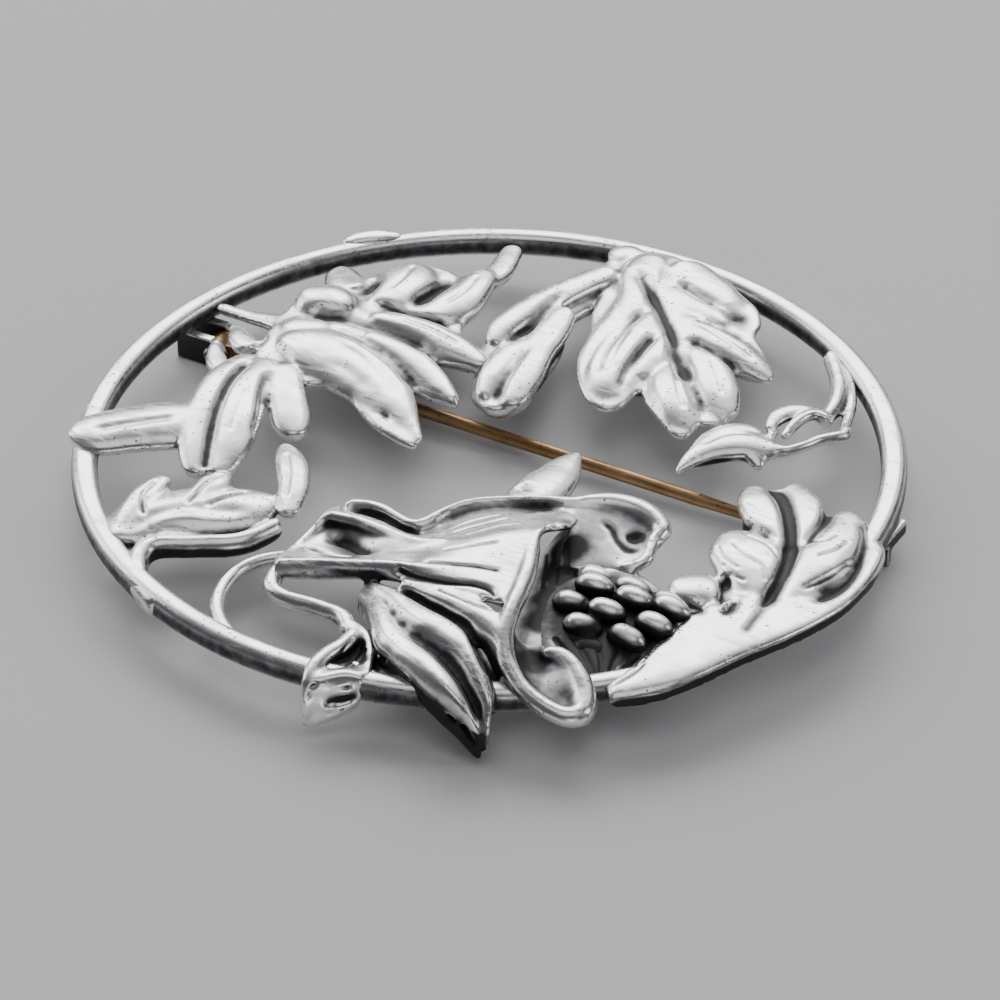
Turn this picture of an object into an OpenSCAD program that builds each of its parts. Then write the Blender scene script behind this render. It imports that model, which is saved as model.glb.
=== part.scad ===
// Round floral brooch: a wire ring filled with cast flowers and leaves, and a brass pin behind it.
// The front faces +Z, the pin runs along X from its hinge at -X to its catch at +X, and the
// brooch rests face up on z = 0. Tables give places from the ring's centre, and heights above
// the ring's own centre plane, in millimetres.

/* [Ring] */
// Diameter of the ring, between the centres of its wire
ring_d = 54; // [50:1:60]
// Width of the ring's wire, seen from the front
wire_w = 1.8; // [1.4:0.1:2.2]
// Thickness of the ring's wire, front to back
wire_t = 1.8; // [1.4:0.1:2.2]
// Height of the ring's centre plane above the surface that the brooch rests on
ring_z = 2.8; // [2.8:0.1:3.4]

/* [Casting] */
// Thickness of petals and leaves below their edges
cast_t = 0.9; // [0.7:0.1:1.2]
// Rise of a petal's middle over its edges, for each unit of half width
petal_dome = 0.5; // [0.2:0.05:0.7]
// Rise of the seed head's bed, for each unit of half width
bed_dome = 0.2; // [0.1:0.05:0.4]
// Thickness of the fluted sheets of the trumpet flower
flute_t = 1; // [0.9:0.1:1.3]
// Half length of a seed
seed_len = 1.3; // [1.1:0.05:1.5]
// Half width of a seed
seed_w = 0.85; // [0.7:0.05:1]

/* [Pin] */
// Distance of the pin's line above the ring's centre, as worn
pin_y = 4.6; // [3:0.1:6]
// Depth of the pin's line behind the ring's centre plane
pin_depth = 1.8; // [1.7:0.05:1.9]
// Diameter of the pin stem at its hinge
stem_d = 0.9; // [0.7:0.05:1]
// Diameter of the stem's blunt tip
tip_d = 0.2; // [0.15:0.05:0.4]
// Length of the stem's tapered end
taper_len = 14; // [8:1:20]
// Outer diameter of the stem's eye
eye_d = 1.8; // [1.6:0.05:1.9]
// Width of the eye, along the rivet
eye_w = 1.2; // [1:0.05:1.4]
// Distance from the rivet's axis to the flat end of the eye's square shoulder
shoulder_end = 1.1; // [1.05:0.05:1.3]
// Height of the shoulder
shoulder_h = 1.2; // [1:0.05:1.4]
// Gap between the eye and the inside of the ring
eye_clear = 0.6; // [0.4:0.05:1]
// Diameter of the hinge rivet
rivet_d = 0.7; // [0.6:0.05:0.8]
// Running gap between the rivet and the eye, on each side
rivet_gap = 0.04; // [0.02:0.01:0.08]
// Thickness of each hinge jaw
jaw_t = 0.7; // [0.5:0.05:0.9]
// Gap between the stem's eye and each jaw
jaw_gap = 0.08; // [0.05:0.01:0.15]
// Thickness of the catch's wall
catch_t = 0.55; // [0.45:0.05:0.7]
// Width of the catch's mouth
catch_mouth = 1.1; // [1:0.05:1.3]
// Length of the catch along the pin
catch_len = 2.2; // [1.6:0.1:2.6]
// Length of the catch's foot along the ring
foot_len = 2.2; // [1.6:0.1:2.6]
// Thickness of the catch's foot
foot_t = 1.1; // [0.8:0.1:1.4]
// Length of the stem's tip beyond the catch
tip_past = 0.2; // [0:0.1:0.2]

/* [Hidden] */

ring_r = ring_d / 2;
table_ring_r = 27;
fit = ring_r / table_ring_r;
// Columns of a table's row
X = 0;
Y = 1;
H = 2;
W = 3;
// Columns of the seed head's table
SEED_Y = 0;
SEED_H = 1;
SEED_X = 2;
COUNT = 3;
SPACING = 4;
// Columns of the boss's profile, in parts of its radius, and a drop in millimetres
ALONG = 0;
WIDE = 1;
DROP = 2;
ring_steps = 64;
ring_sides = 8;
petal_sides = 8;
strand_sides = 6;
// Thinnest the casting gets under a pointed end, and its growth for each unit of half width
thin_end = 0.25;
thin_growth = 0.5;
// Part of its thickness that a fluted sheet keeps at its edge
edge_part = 0.5;

// Petals of the many-petalled flower, from root to tip: x, y, top height, half width
flower_petals = [
    [[-18, 2.4, 2.1, 2.2], [-14, 3.2, 2.4, 2.8], [-9.2, 1.7, 1.9, 1.9], [-6.4, -0.6, 1.3, 1.2],
        [-4.4, -1.9, 0.8, 0.2]],
    [[-13.5, 6.3, 2, 0.9], [-10, 6, 1.9, 1], [-7, 4.6, 1.5, 1.1], [-4.2, 2.9, 1, 0.3]],
    [[-14.5, 8, 1.9, 1.2], [-10.5, 8.5, 2, 1.4], [-7, 8.2, 1.6, 1.3], [-4.7, 7.8, 1.2, 0.5]],
    [[-15, 8.5, 1.8, 1.2], [-14.4, 12, 2, 1.6], [-15, 15, 1.8, 2.4], [-15.8, 17.2, 1.2, 1]],
    [[-12, 9.5, 1.5, 2], [-10.6, 13, 1.8, 2], [-10.3, 16, 1.7, 1.2], [-11.3, 18.4, 1.2, 0.5]],
    [[-18.9, 1, 1.7, 1], [-19, -3, 2.2, 1.2], [-18, -7, 2, 1.3],
        [-16.4, -10.4, 1.5, 1.3], [-15.1, -12.8, 1, 0.5]],
    [[-17.3, 1, 1.9, 1.1], [-17, -3, 2.3, 1.4], [-15.8, -6.5, 2.1, 1.6],
        [-14.6, -9.5, 1.6, 1.3], [-13.9, -12, 1.1, 0.5]],
    [[-16.6, 0.6, 1.9, 1.1], [-14.6, -2.2, 1.8, 1.3], [-12.8, -4.4, 1.4, 1.2], [-11.3, -6.3, 1, 0.5]],
    [[-19, 5.4, 1.8, 1.3], [-21, 5.7, 1.5, 1.1], [-23, 5.9, 1.2, 0.8], [-25.6, 6.2, 0.9, 0.5]],
    [[-19.6, 1.2, 1.6, 0.9], [-21.2, 2.4, 1.4, 0.9], [-22.4, 3.9, 1, 0.4]],
    [[-19.4, -2, 1.2, 0.6], [-21.3, -0.4, 1, 0.8], [-22.8, 1.6, 0.8, 0.4]]
];
// Lobes that join the flower to the ring: x, y, top height, half width
flower_joins = [
    [[-17.8, 12, 1.6, 1.6], [-19.6, 14, 1.5, 1.7], [-21.4, 16, 1.2, 1.3]],
    [[-18.3, 16.8, 1.2, 1.2], [-20.3, 17.9, 1.6, 1.6], [-22.1, 18.4, 1.2, 0.9]],
    [[-10.4, 17, 1.2, 0.8], [-10.4, 19.6, 1, 0.9], [-11.4, 23.4, 0.8, 0.8]],
    [[-15.4, 20.6, 1.1, 0.8], [-16.6, 21.6, 1.2, 1], [-18, 21.6, 0.9, 0.6]]
];
// Round bosses: x, y, top height, radius
bosses = [
    [-18.3, 8.6, 2.5, 2.2],
    [-17.4, 4.6, 2.5, 2.2],
    [-14.7, 7, 1.6, 2.3],
    [20.3, -8.2, 1.5, 2.2],
    [22.5, -8.8, 1.8, 0.8],
    [-3.7, 25.6, 1.5, 1.3],
    [-0.4, 25.2, 1.4, 1.8],
    [2.3, 21.6, 1.5, 2.2],
    [4.3, 18.2, 1.3, 1.6]
];
// Cut stalk that crosses the ring at the left: x, y, top height, half width
stalk_rows = [[-18.2, -7.6, 1.9, 3.1], [-21.2, -10.4, 1.9, 2.6], [-23.6, -12.5, 1.7, 2.1],
    [-24.9, -13.6, 1.2, 1.1]];
// Curled leaf at the left, its two side lobes and its rolled end: x, y, top height, half width
curled_leaf = [
    [[-15.9, -21.6, 0.9, 1.4], [-15.3, -18.8, 1.3, 2.5], [-12.9, -16.6, 1.6, 2.9], [-10.2, -14.6, 1.5, 2.5],
        [-8.4, -13, 1.3, 1.3]],
    [[-13.2, -11.8, 1.3, 0.5], [-13, -13.8, 1.7, 1.1], [-13.2, -16, 1.5, 0.7]],
    [[-16.4, -14.2, 1.2, 0.6], [-16.4, -17, 1.5, 1], [-16, -20.4, 1.1, 0.8]],
    [[-11.8, -7, 1.1, 0.5], [-10, -9, 1.8, 1.1], [-8.2, -11.5, 1.9, 1.1], [-6.9, -14.4, 1.5, 0.7]]
];
// Round strands: x, y, top height, half width
strands = [
    [[-7.2, -14.8, 1.3, 0.7], [-8.4, -17.6, 1.3, 0.8], [-11, -19.3, 1.2, 0.8], [-13.2, -20.6, 1.1, 0.8],
        [-13.4, -22.3, 1, 0.8], [-12, -24.2, 0.9, 0.8], [-9.4, -25.9, 0.8, 0.8]],
    [[-4.6, -17, 0.9, 0.5], [-6.4, -18.4, 0.8, 0.5], [-7.2, -20.6, 0.7, 0.5], [-6.6, -23.4, 0.7, 0.5],
        [-4.8, -25.6, 0.7, 0.5], [-2, -27, 0.7, 0.5]],
    [[-4.8, -18.6, 1, 0.6], [-4.4, -20.4, 0.9, 0.6], [-3, -21.2, 0.9, 0.6], [-0.4, -21, 0.9, 0.6],
        [1.6, -21.3, 1, 0.6], [2.8, -22.6, 1.1, 0.6]],
    [[14.5, 22.6, 0.8, 0.6], [16.4, 18.4, 0.9, 0.6], [17.4, 15.8, 1, 0.6], [17.9, 14, 1.2, 0.6]],
    [[17.4, 9.4, 1.4, 0.7], [19.2, 11, 1.2, 0.55], [20.1, 13, 1, 0.5], [19.4, 15.8, 0.9, 0.5],
        [17.6, 18.8, 0.8, 0.5], [15.8, 21.6, 0.7, 0.5]],
    [[16.4, 9.6, 1.4, 0.8], [15.7, 11.8, 1.4, 0.75], [16.3, 13.5, 1.4, 0.7], [17.7, 13.9, 1.3, 0.65],
        [18.3, 13, 1.1, 0.5]]
];
// Lobes of the large leaf at the top: x, y, top height, half width
large_leaf = [
    [[-3.4, 25.4, 1.5, 1.2], [-3.8, 20.5, 1.6, 1.7], [-4.1, 16.4, 1.6, 1.3], [-3.2, 12, 1.6, 1.7],
        [-2.4, 8, 1.5, 1.8], [-1.9, 5.4, 1.2, 1.5], [-1.8, 4.4, 1, 0.7]],
    [[-4.6, 18, 1.2, 0.9], [-5.6, 14, 1.3, 1.3], [-5.8, 11.6, 1.1, 1.2], [-5.6, 10.2, 0.8, 0.5]],
    [[-1.4, 25.6, 1.6, 1.8], [0, 21, 1.8, 2], [1.7, 16.6, 1.9, 2.5],
        [3.3, 12, 1.8, 2.6], [4.3, 9.2, 1.5, 1.9],
        [4.7, 7.6, 1.2, 0.7]],
    [[3.8, 17.4, 1.6, 1], [6.6, 13, 1.7, 1.6], [8.8, 10.2, 1.5, 1.8], [11, 8, 1.1, 0.6]],
    [[4.6, 19, 1.6, 1.3], [8.2, 15.3, 1.8, 1.7], [10.8, 12.8, 1.5, 1.5], [12.8, 10.6, 1.1, 0.4]],
    [[2.6, 21.6, 1.7, 1.7], [6.4, 19, 1.7, 1.5], [10.8, 17.2, 1.4, 1], [12.9, 15.3, 0.9, 0.3]],
    [[0.6, 25.4, 1.6, 1.7], [4.2, 23.4, 1.6, 2.2], [7.2, 21.4, 1.2, 1.5], [8.9, 20, 0.8, 0.4]]
];
// Bud at the right and its folded sepal: x, y, top height, half width
bud_rows = [
    [[18.2, 9.8, 1.3, 0.8], [16.2, 9.2, 1.8, 1.5], [14.3, 8, 1.9, 1.8],
        [13, 5.9, 1.5, 1.2], [12.8, 3.3, 0.7, 0.2]],
    [[16.4, 9, 1.4, 1], [17.3, 7, 1.3, 0.9], [17.2, 5.3, 0.9, 0.4]]
];
// Lobes of the leaf at the right, inside its long body: x, y, top height, half width
side_leaf = [
    [[24.8, -7.4, 1.3, 1], [22.3, -4.2, 1.8, 2.5], [19.8, -2, 1.6, 2.2], [17.9, -0.5, 1, 0.5]],
    [[24, -2.4, 1.4, 0.9], [21.2, 0.8, 1.7, 1.6], [18.8, 3, 1.4, 1.7], [17, 4.8, 0.8, 0.6]],
    [[25, -3.6, 1.3, 0.9], [22.5, 1, 1.8, 1.3], [20.3, 4, 1.5, 1.2], [18.8, 5.8, 0.9, 0.5]],
    [[25.6, -6, 1.3, 1.2], [25.4, -1, 1.7, 2], [24.6, 3, 1.4, 1.9], [23.8, 5.4, 0.8, 0.7]]
];
// Sepal behind the trumpet flower: x, y, top height, half width
sepal_rows = [[5.8, -6, 1.6, 1.9], [5.8, -3, 1.6, 1.9], [5.6, -0.4, 1.2, 1.5], [5.5, 1.4, 0.9, 0.8],
    [5.5, 2.5, 0.7, 0.2]];
// Pointed leaf that folds down over the ring at the front: x, y, top height, half width
front_leaf = [[2.5, -21.6, 0.9, 0.8], [3.2, -23.8, 1.3, 1.3], [3.9, -25.8, 1.6, 1.9], [4.2, -27.4, 1, 1.8],
    [4, -28.7, -0.4, 1.1], [3.5, -29.6, -2.1, 0.2]];
// Low fold between the pointed leaf and the trumpet: x, y, top height, half width
low_fold = [[3.8, -24.2, 0.6, 0.8], [6.4, -24.9, 0.7, 1.2], [9.8, -25.8, 0.5, 0.8]];
// Throat of the trumpet, between its lip and the seed head: x, y, top height, half width
throat_rows = [[10.4, -5.6, 1.5, 1.4], [11, -10, 1.1, 1.8], [11.9, -14.4, 0.9, 1.7],
    [13.4, -18.8, 0.7, 1.3]];

// Flutes of the trumpet's wide upper side, from the narrow end to the lip: x, y, height
trumpet_flutes = [
    [[-4.4, -10.6, 1.1], [-2, -10.2, 1.3], [0.9, -11, 1.4],
        [2.6, -8, 1.9], [5.7, -6.2, 2.3], [9.4, -5, 2.6]],
    [[-4.5, -11.3, 0.8], [-1.7, -11.1, 0.9], [1.5, -11.7, 1.1],
        [3.3, -8.8, 1.6], [6, -7, 2], [9.5, -5.9, 2.5]],
    [[-4.6, -11.9, 1.2], [-1.4, -11.9, 1.4], [1.9, -12.6, 1.7],
        [4.1, -11, 2.2], [6.7, -9, 2.8], [9.9, -8, 3.3]],
    [[-4.7, -12.7, 1.5], [-1.1, -12.9, 1.8], [2.1, -13.7, 2.2],
        [5.1, -13, 2.9], [7.7, -11.3, 3.4], [10, -10.3, 3.7]],
    [[-4.9, -13.5, 0.7], [-1.7, -13.9, 0.8], [1.7, -15, 1.8],
        [5.1, -14.6, 2.9], [8.1, -13, 3.4], [10.6, -12.4, 3.6]],
    [[-5, -15.8, 0.7], [-2, -15.6, 0.8], [1.4, -15.9, 1.9],
        [5.3, -15.8, 3], [8.6, -14.9, 3.4], [11.1, -14.3, 3.5]],
    [[-4.8, -19.1, 1.4], [-1.3, -17.9, 1.9], [2.2, -17, 2.5],
        [5.7, -16.8, 3], [9, -16.5, 3.3], [11.6, -16.1, 3.4]],
    [[-4.7, -19.8, 0.8], [-1.2, -18.5, 1.1], [2.3, -17.7, 1.9],
        [5.8, -17.8, 2.6], [9.2, -17.8, 3], [12.1, -17.9, 3.2]]
];
// Flutes of the trumpet's lower side, from the fork to the hanging tip: x, y, height
lower_flutes = [
    [[2, -17.3, 2], [5, -17.4, 2.6], [8, -17.5, 3], [10.4, -17.6, 3.2], [12.1, -18, 3.2]],
    [[2.7, -17.9, 1.8], [6, -18.7, 2.1], [9.2, -18.9, 2.4], [11.6, -20, 2.4], [13.4, -21.2, 2.3]],
    [[3.4, -18.5, 1.4], [5.7, -19.3, 1.5], [8.8, -19.5, 1.7], [11.6, -21.3, 1.6], [14.5, -23.6, 1.2]],
    [[2.8, -18.9, 1.7], [5.5, -20, 2.1], [8.7, -20.9, 2.4], [12.1, -23, 2.2], [15, -24.8, 0.8]],
    [[3.3, -19.6, 1.3], [5.6, -21.2, 1.3], [8.8, -22.6, 1.5], [11.9, -24.2, 1.5], [14.9, -25.4, -0.4]],
    [[2.7, -20.1, 1.5], [4.9, -22.3, 1.7], [8.3, -24, 1.8], [11.9, -25.2, 1.5], [14.7, -25.8, -2]],
    [[2.3, -20.4, 1], [4, -22.9, 1], [7.7, -24.5, 1], [11.4, -25.8, 0.7], [13.5, -26, -0.8]]
];
// Rolled lip at the trumpet's front corner, its tongue, hollow and rim: x, y, height
lip_flutes = [
    [[15.2, -18.4, 1.7], [16.5, -19, 1.9], [17.9, -20.1, 1.7], [19.2, -21.2, 1.4], [20.1, -22.2, 1]],
    [[14.2, -18.7, 1.4], [15.6, -19.9, 1], [17, -21.3, 0.8], [18.5, -22.2, 0.8], [19.8, -22.5, 0.9]],
    [[13.4, -18.8, 1.7], [14.8, -20.6, 1.1], [16.4, -22.2, 0.8], [18, -22.9, 0.7], [19.5, -22.7, 0.8]],
    [[12.2, -18.8, 2.8], [13.5, -21.3, 2.2], [15.2, -23.2, 1.5], [17.6, -23.8, 1], [19.6, -23.1, 0.9]]
];
// Back petal beyond the seed head, from its top edge down: x, y, height
back_flutes = [
    [[9.4, -4.8, 2.5], [11.2, -3, 2.6], [13.6, -2.8, 2.5], [15.6, -4, 2.2], [16.2, -5.6, 2]],
    [[9.8, -6.2, 2.3], [11.4, -5.2, 2], [13.2, -5.2, 1.7], [14.6, -5.8, 1.7], [15.6, -6.6, 1.9]],
    [[10.4, -8.4, 2], [12, -8, 1.5], [13.4, -8, 1.3], [14.8, -8, 1.4], [16, -7.8, 1.7]],
    [[11.2, -10.6, 1.6], [12.4, -10, 1.2], [13.6, -9.6, 1], [14.8, -9.2, 1.1], [15.8, -8.9, 1.3]]
];
// Long body of the leaf at the right, its inner edge, middle and rim: x, y, height
body_flutes = [
    [[19.7, -19.7, 0.6], [20.4, -16.2, 0.9], [20.6, -12.6, 1], [21.9, -8.8, 1.2],
        [25.2, -5.2, 1.2], [26.8, -1.8, 0.9], [26.8, 0.8, 0.7], [26.2, 2.8, 0.4]],
    [[20.2, -20.4, 0.9], [22.6, -17.4, 1.5], [24.2, -13, 1.8], [25.8, -9.2, 1.7],
        [27.4, -5.2, 1.4], [28, -1.6, 1.3], [27.6, 1.5, 1.1], [26.8, 3.4, 0.7]],
    [[20.4, -20.8, 0.5], [23.5, -18.3, 0.6], [25.9, -13.4, 0.6], [27.7, -9.6, 0.6],
        [29, -5.4, 0.6], [29.2, -1.6, 0.6], [28.5, 2, 0.5], [27.1, 3.8, 0.3]]
];
// Rows of the seed head: y, centre height, first x, number of seeds, spacing
seed_rows = [
    [-9.8, 1.2, 14.2, 2, 2.8],
    [-11.2, 1.5, 14.4, 3, 2.6],
    [-13, 1.3, 13.9, 3, 2.7],
    [-14.7, 0.9, 14.8, 3, 2.2],
    [-16.2, 0.3, 14, 2, 2.8]
];
// Bed of the seed head: x, y, top height, half width
seed_bed = [[14.6, -8.4, 1.2, 2.6], [15.6, -11.5, 1.3, 4.6], [16.6, -15, 1.1, 4.4], [18.4, -18.4, 0.7, 2],
    [19.3, -19.8, 0.5, 0.8]];

// Profile of a boss along its length
boss_profile = [[-1, 0.15, 0.5], [-0.7, 0.75, 0.2], [0, 1, 0], [0.7, 0.75, 0.2], [1, 0.15, 0.5]];
// Sections of a seed, in parts of its half length, and how blunt its ends are, from 1 for a point
seed_stations = [-1, -0.75, 0, 0.75, 1];
seed_blunt = 1.05;

// Distance from the ring's middle to its wire, along the pin's line
wire_x = sqrt(ring_r * ring_r - pin_y * pin_y);
pivot_x = -wire_x + wire_w / 2 + eye_clear + eye_d / 2;
pin_z = ring_z - pin_depth;
jaw_y = eye_w / 2 + jaw_gap;
jaw_r = pin_z;
// Reach of the jaws from the rivet past the middle of the ring's wire
jaw_back = wire_x + pivot_x + wire_w / 4;
bore_d = rivet_d + 2 * rivet_gap;
catch_x = wire_x - wire_w / 4;
pin_end = catch_x + catch_len / 2 + tip_past;
ring_back = ring_z - wire_t / 2;
// Depth to which soldered pieces run into each other
weld = 0.3;

// A point of a smooth curve that passes through every row, t of the way from row i to the next
function curve_at(rows, i, t) = let (
    a = rows[max(i - 1, 0)],
    b = rows[i],
    c = rows[i + 1],
    d = rows[min(i + 2, len(rows) - 1)]
) (2 * b + (c - a) * t + (2 * a - 5 * b + 4 * c - d) * t * t + (3 * b - a - 3 * c + d) * t * t * t) / 2;

// Rows with steps - 1 new ones between each pair
function smooth(rows, steps) = concat(
    [for (i = [0 : len(rows) - 2]) for (j = [0 : steps - 1]) curve_at(rows, i, j / steps)],
    [rows[len(rows) - 1]]);

// Direction across a row of rows, level and of length 1
function across(rows, i) = let (
    a = rows[max(i - 1, 0)],
    b = rows[min(i + 1, len(rows) - 1)],
    d = [b[X] - a[X], b[Y] - a[Y]] / norm([b[X] - a[X], b[Y] - a[Y]])
) [-d[1], d[0]];

// One section of a solid that is rise high above its widest line and depth deep below it
function section(row, side, rise, depth, sides) = [for (k = [0 : sides - 1]) let (
    u = cos(360 * k / sides),
    v = sin(360 * k / sides)
) [
    fit * (row[X] + side[0] * u * row[W]),
    fit * (row[Y] + side[1] * u * row[W]),
    row[H] - rise + (v > 0 ? rise : depth) * v
]];

// A closed solid through sections that have the same number of points
module lofted(sections) {
    sides = len(sections[0]);
    last = len(sections) - 1;
    walls = [for (i = [0 : last - 1]) for (k = [0 : sides - 1]) let (
        a = i * sides + k,
        b = i * sides + (k + 1) % sides
    ) each [[a, b + sides, b], [a, a + sides, b + sides]]];
    caps = [[for (k = [0 : sides - 1]) k], [for (k = [sides - 1 : -1 : 0]) last * sides + k]];
    polyhedron([for (s = sections) each s], concat(walls, caps));
}

// A domed petal or lobe along a table's rows
module petal(rows, steps = 2, dome = petal_dome) {
    fine = smooth(rows, steps);
    lofted([for (i = [0 : len(fine) - 1])
        section(fine[i], across(fine, i), dome * fine[i][W], min(cast_t, thin_end + thin_growth * fine[i][W]),
            petal_sides)]);
}

// A round strand along a table's rows
module strand(rows, steps = 2) {
    fine = smooth(rows, steps);
    lofted([for (i = [0 : len(fine) - 1])
        section(fine[i], across(fine, i), fine[i][W], fine[i][W], strand_sides)]);
}

// A fluted sheet through a table of flutes, with the given thickness
module fluted(flutes, thick, steps = 2) {
    grid = smooth([for (f = flutes) smooth(f, steps)], steps);
    rows = len(grid);
    cols = len(grid[0]);
    top = [for (r = grid) for (p = r) [fit * p[X], fit * p[Y], p[H]]];
    under = [for (i = [0 : rows - 1]) for (j = [0 : cols - 1]) let (
        p = top[i * cols + j],
        inside = min(i, j, rows - 1 - i, cols - 1 - j) > 0
    ) [p[X], p[Y], p[H] - (inside ? thick : edge_part * thick)]];
    size = rows * cols;
    faces = [for (i = [0 : rows - 2]) for (j = [0 : cols - 2]) let (a = i * cols + j)
        each [[a, a + 1, a + cols + 1], [a, a + cols + 1, a + cols],
            [size + a, size + a + cols + 1, size + a + 1],
                [size + a, size + a + cols, size + a + cols + 1]]];
    edge = concat([for (j = [0 : cols - 2]) j], [for (i = [0 : rows - 2]) i * cols + cols - 1],
        [for (j = [cols - 1 : -1 : 1]) (rows - 1) * cols + j], [for (i = [rows - 1 : -1 : 1]) i * cols]);
    walls = [for (k = [0 : len(edge) - 1]) let (a = edge[k], b = edge[(k + 1) % len(edge)])
        each [[a, size + b, b], [a, size + a, size + b]]];
    polyhedron(concat(top, under), concat(faces, walls));
}

// A low dome: x, y, top height, radius
module boss(row) {
    petal([for (p = boss_profile)
        [row[X] + p[ALONG] * row[W], row[Y], row[H] - p[DROP], p[WIDE] * row[W]]], 1);
}

// A long bead with blunt ends, centred at the given place
module seed(x, y, h) {
    strand([for (t = seed_stations) let (half_w = seed_w * sqrt(seed_blunt - t * t))
        [x + seed_len * t, y, h + half_w, half_w]], 1);
}

module ring() {
    rotate_extrude($fn = ring_steps)
        translate([ring_r, 0])
            scale([wire_w, wire_t] / 2)
                circle(r = 1, $fn = ring_sides);
}

module ornament() {
    ring();
    for (r = concat(flower_petals, flower_joins, [stalk_rows], curled_leaf, large_leaf, bud_rows, side_leaf))
        petal(r);
    for (r = [sepal_rows, front_leaf])
        petal(r);
    for (r = [low_fold, throat_rows])
        petal(r, 1);
    petal(seed_bed, dome = bed_dome);
    for (r = bosses)
        boss(r);
    for (r = strands)
        strand(r);
    for (f = [trumpet_flutes, lower_flutes, lip_flutes, back_flutes, body_flutes])
        fluted(f, flute_t);
    for (r = seed_rows)
        for (i = [0 : r[COUNT] - 1])
            seed(r[SEED_X] + i * r[SPACING], r[SEED_Y], r[SEED_H]);
}

// Two jaws soldered to the ring's back, with the rivet between them
module hinge_jaws() {
    for (s = [-1, 1])
        translate([pivot_x, pin_y + s * (jaw_y + jaw_t / 2), 0]) {
            translate([0, 0, pin_z])
                rotate([90, 0, 0])
                    cylinder(r = jaw_r, h = jaw_t, center = true, $fn = 48);
            translate([-jaw_back, -jaw_t / 2, 0])
                cube([jaw_back, jaw_t, ring_back + weld]);
        }
    translate([pivot_x, pin_y, pin_z])
        rotate([90, 0, 0])
            cylinder(d = rivet_d, h = 2 * jaw_y + jaw_t, center = true, $fn = 32);
}

// A plain trough soldered to the ring's back, with its mouth away from the brooch and a foot
module catch() {
    outer_w = catch_mouth + 2 * catch_t;
    roof_z = pin_z + catch_mouth / 2;
    translate([catch_x - catch_len / 2, pin_y - outer_w / 2, 0])
        difference() {
            cube([catch_len, outer_w, ring_back + weld]);
            translate([-catch_len / 2, catch_t, -roof_z])
                cube([2 * catch_len, catch_mouth, 2 * roof_z]);
        }
    translate([catch_x - catch_len / 2, pin_y + outer_w / 2 - weld, ring_back + weld - foot_t])
        cube([catch_len, foot_len + weld, foot_t]);
}

module openwork() {
    color("silver")
        union() {
            translate([0, 0, ring_z])
                resize([0, 0, 0])
                    ornament();
            hinge_jaws();
            catch();
        }
}

module pin_stem() {
    // The stem starts inside the shoulder
    start = pivot_x + (shoulder_end + bore_d / 2) / 2;
    profile = [[0, start], [stem_d / 2, start], [stem_d / 2, pin_end - taper_len],
        [tip_d / 2, pin_end], [0, pin_end]];
    color("darkgoldenrod")
        translate([0, pin_y, pin_z])
            union() {
                translate([pivot_x, 0, 0])
                    difference() {
                        union() {
                            rotate([90, 0, 0])
                                cylinder(d = eye_d, h = eye_w, center = true, $fn = 48);
                            translate([0, -eye_w / 2, -shoulder_h / 2])
                                cube([shoulder_end, eye_w, shoulder_h]);
                        }
                        rotate([90, 0, 0])
                            cylinder(d = bore_d, h = 2 * eye_w, center = true, $fn = 48);
                    }
                rotate([0, 90, 0])
                    rotate_extrude($fn = 32)
                        polygon(profile);
            }
}

openwork();
pin_stem();
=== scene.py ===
# %% [markdown]
# A round openwork brooch, cast in silver: a wire ring filled with a trumpet flower, its seed head,
# a many-petalled flower, a bud and leaves, and a brass pin behind them.
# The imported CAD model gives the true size, the hinge and the catch, so it is loaded first.
# Its front faces +Z and it lies on z = 0. Every new piece is worked out in that same frame.

# %% Load the frame
import math

import bpy
import numpy as np
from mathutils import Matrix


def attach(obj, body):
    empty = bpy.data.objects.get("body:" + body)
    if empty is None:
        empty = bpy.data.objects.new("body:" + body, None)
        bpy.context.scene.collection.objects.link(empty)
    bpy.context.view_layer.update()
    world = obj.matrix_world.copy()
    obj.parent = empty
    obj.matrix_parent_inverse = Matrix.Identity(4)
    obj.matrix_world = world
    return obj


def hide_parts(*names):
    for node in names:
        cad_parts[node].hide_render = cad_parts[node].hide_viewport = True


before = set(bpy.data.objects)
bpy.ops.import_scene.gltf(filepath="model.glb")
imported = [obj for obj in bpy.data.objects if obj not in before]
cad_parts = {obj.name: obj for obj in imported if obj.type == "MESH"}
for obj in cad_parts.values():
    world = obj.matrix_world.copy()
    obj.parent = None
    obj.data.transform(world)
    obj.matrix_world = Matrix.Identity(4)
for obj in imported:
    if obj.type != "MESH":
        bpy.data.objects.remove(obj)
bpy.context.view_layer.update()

MM = 0.001

# %% [markdown]
# The camera stands in front and to the right of the brooch and looks down at it, as a photographer
# does with a long lens at a small jewel. The long lens keeps the circle's near and far sides
# almost the same size, so the focal length matters as much as the angle.

# %% Camera
VIEW_AZIMUTH = 30
VIEW_ELEVATION = 34.65
VIEW_DISTANCE = 340
LENS_MM = 185.5
SENSOR_MM = 36
NEAREST_M, FARTHEST_M = 0.01, 10
AIM = (3.3, -4.3, 2.8)


def put(name, data):
    """An object at the origin that holds the data, linked into the scene."""
    made = bpy.data.objects.new(name, data)
    bpy.context.scene.collection.objects.link(made)
    return made


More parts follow.
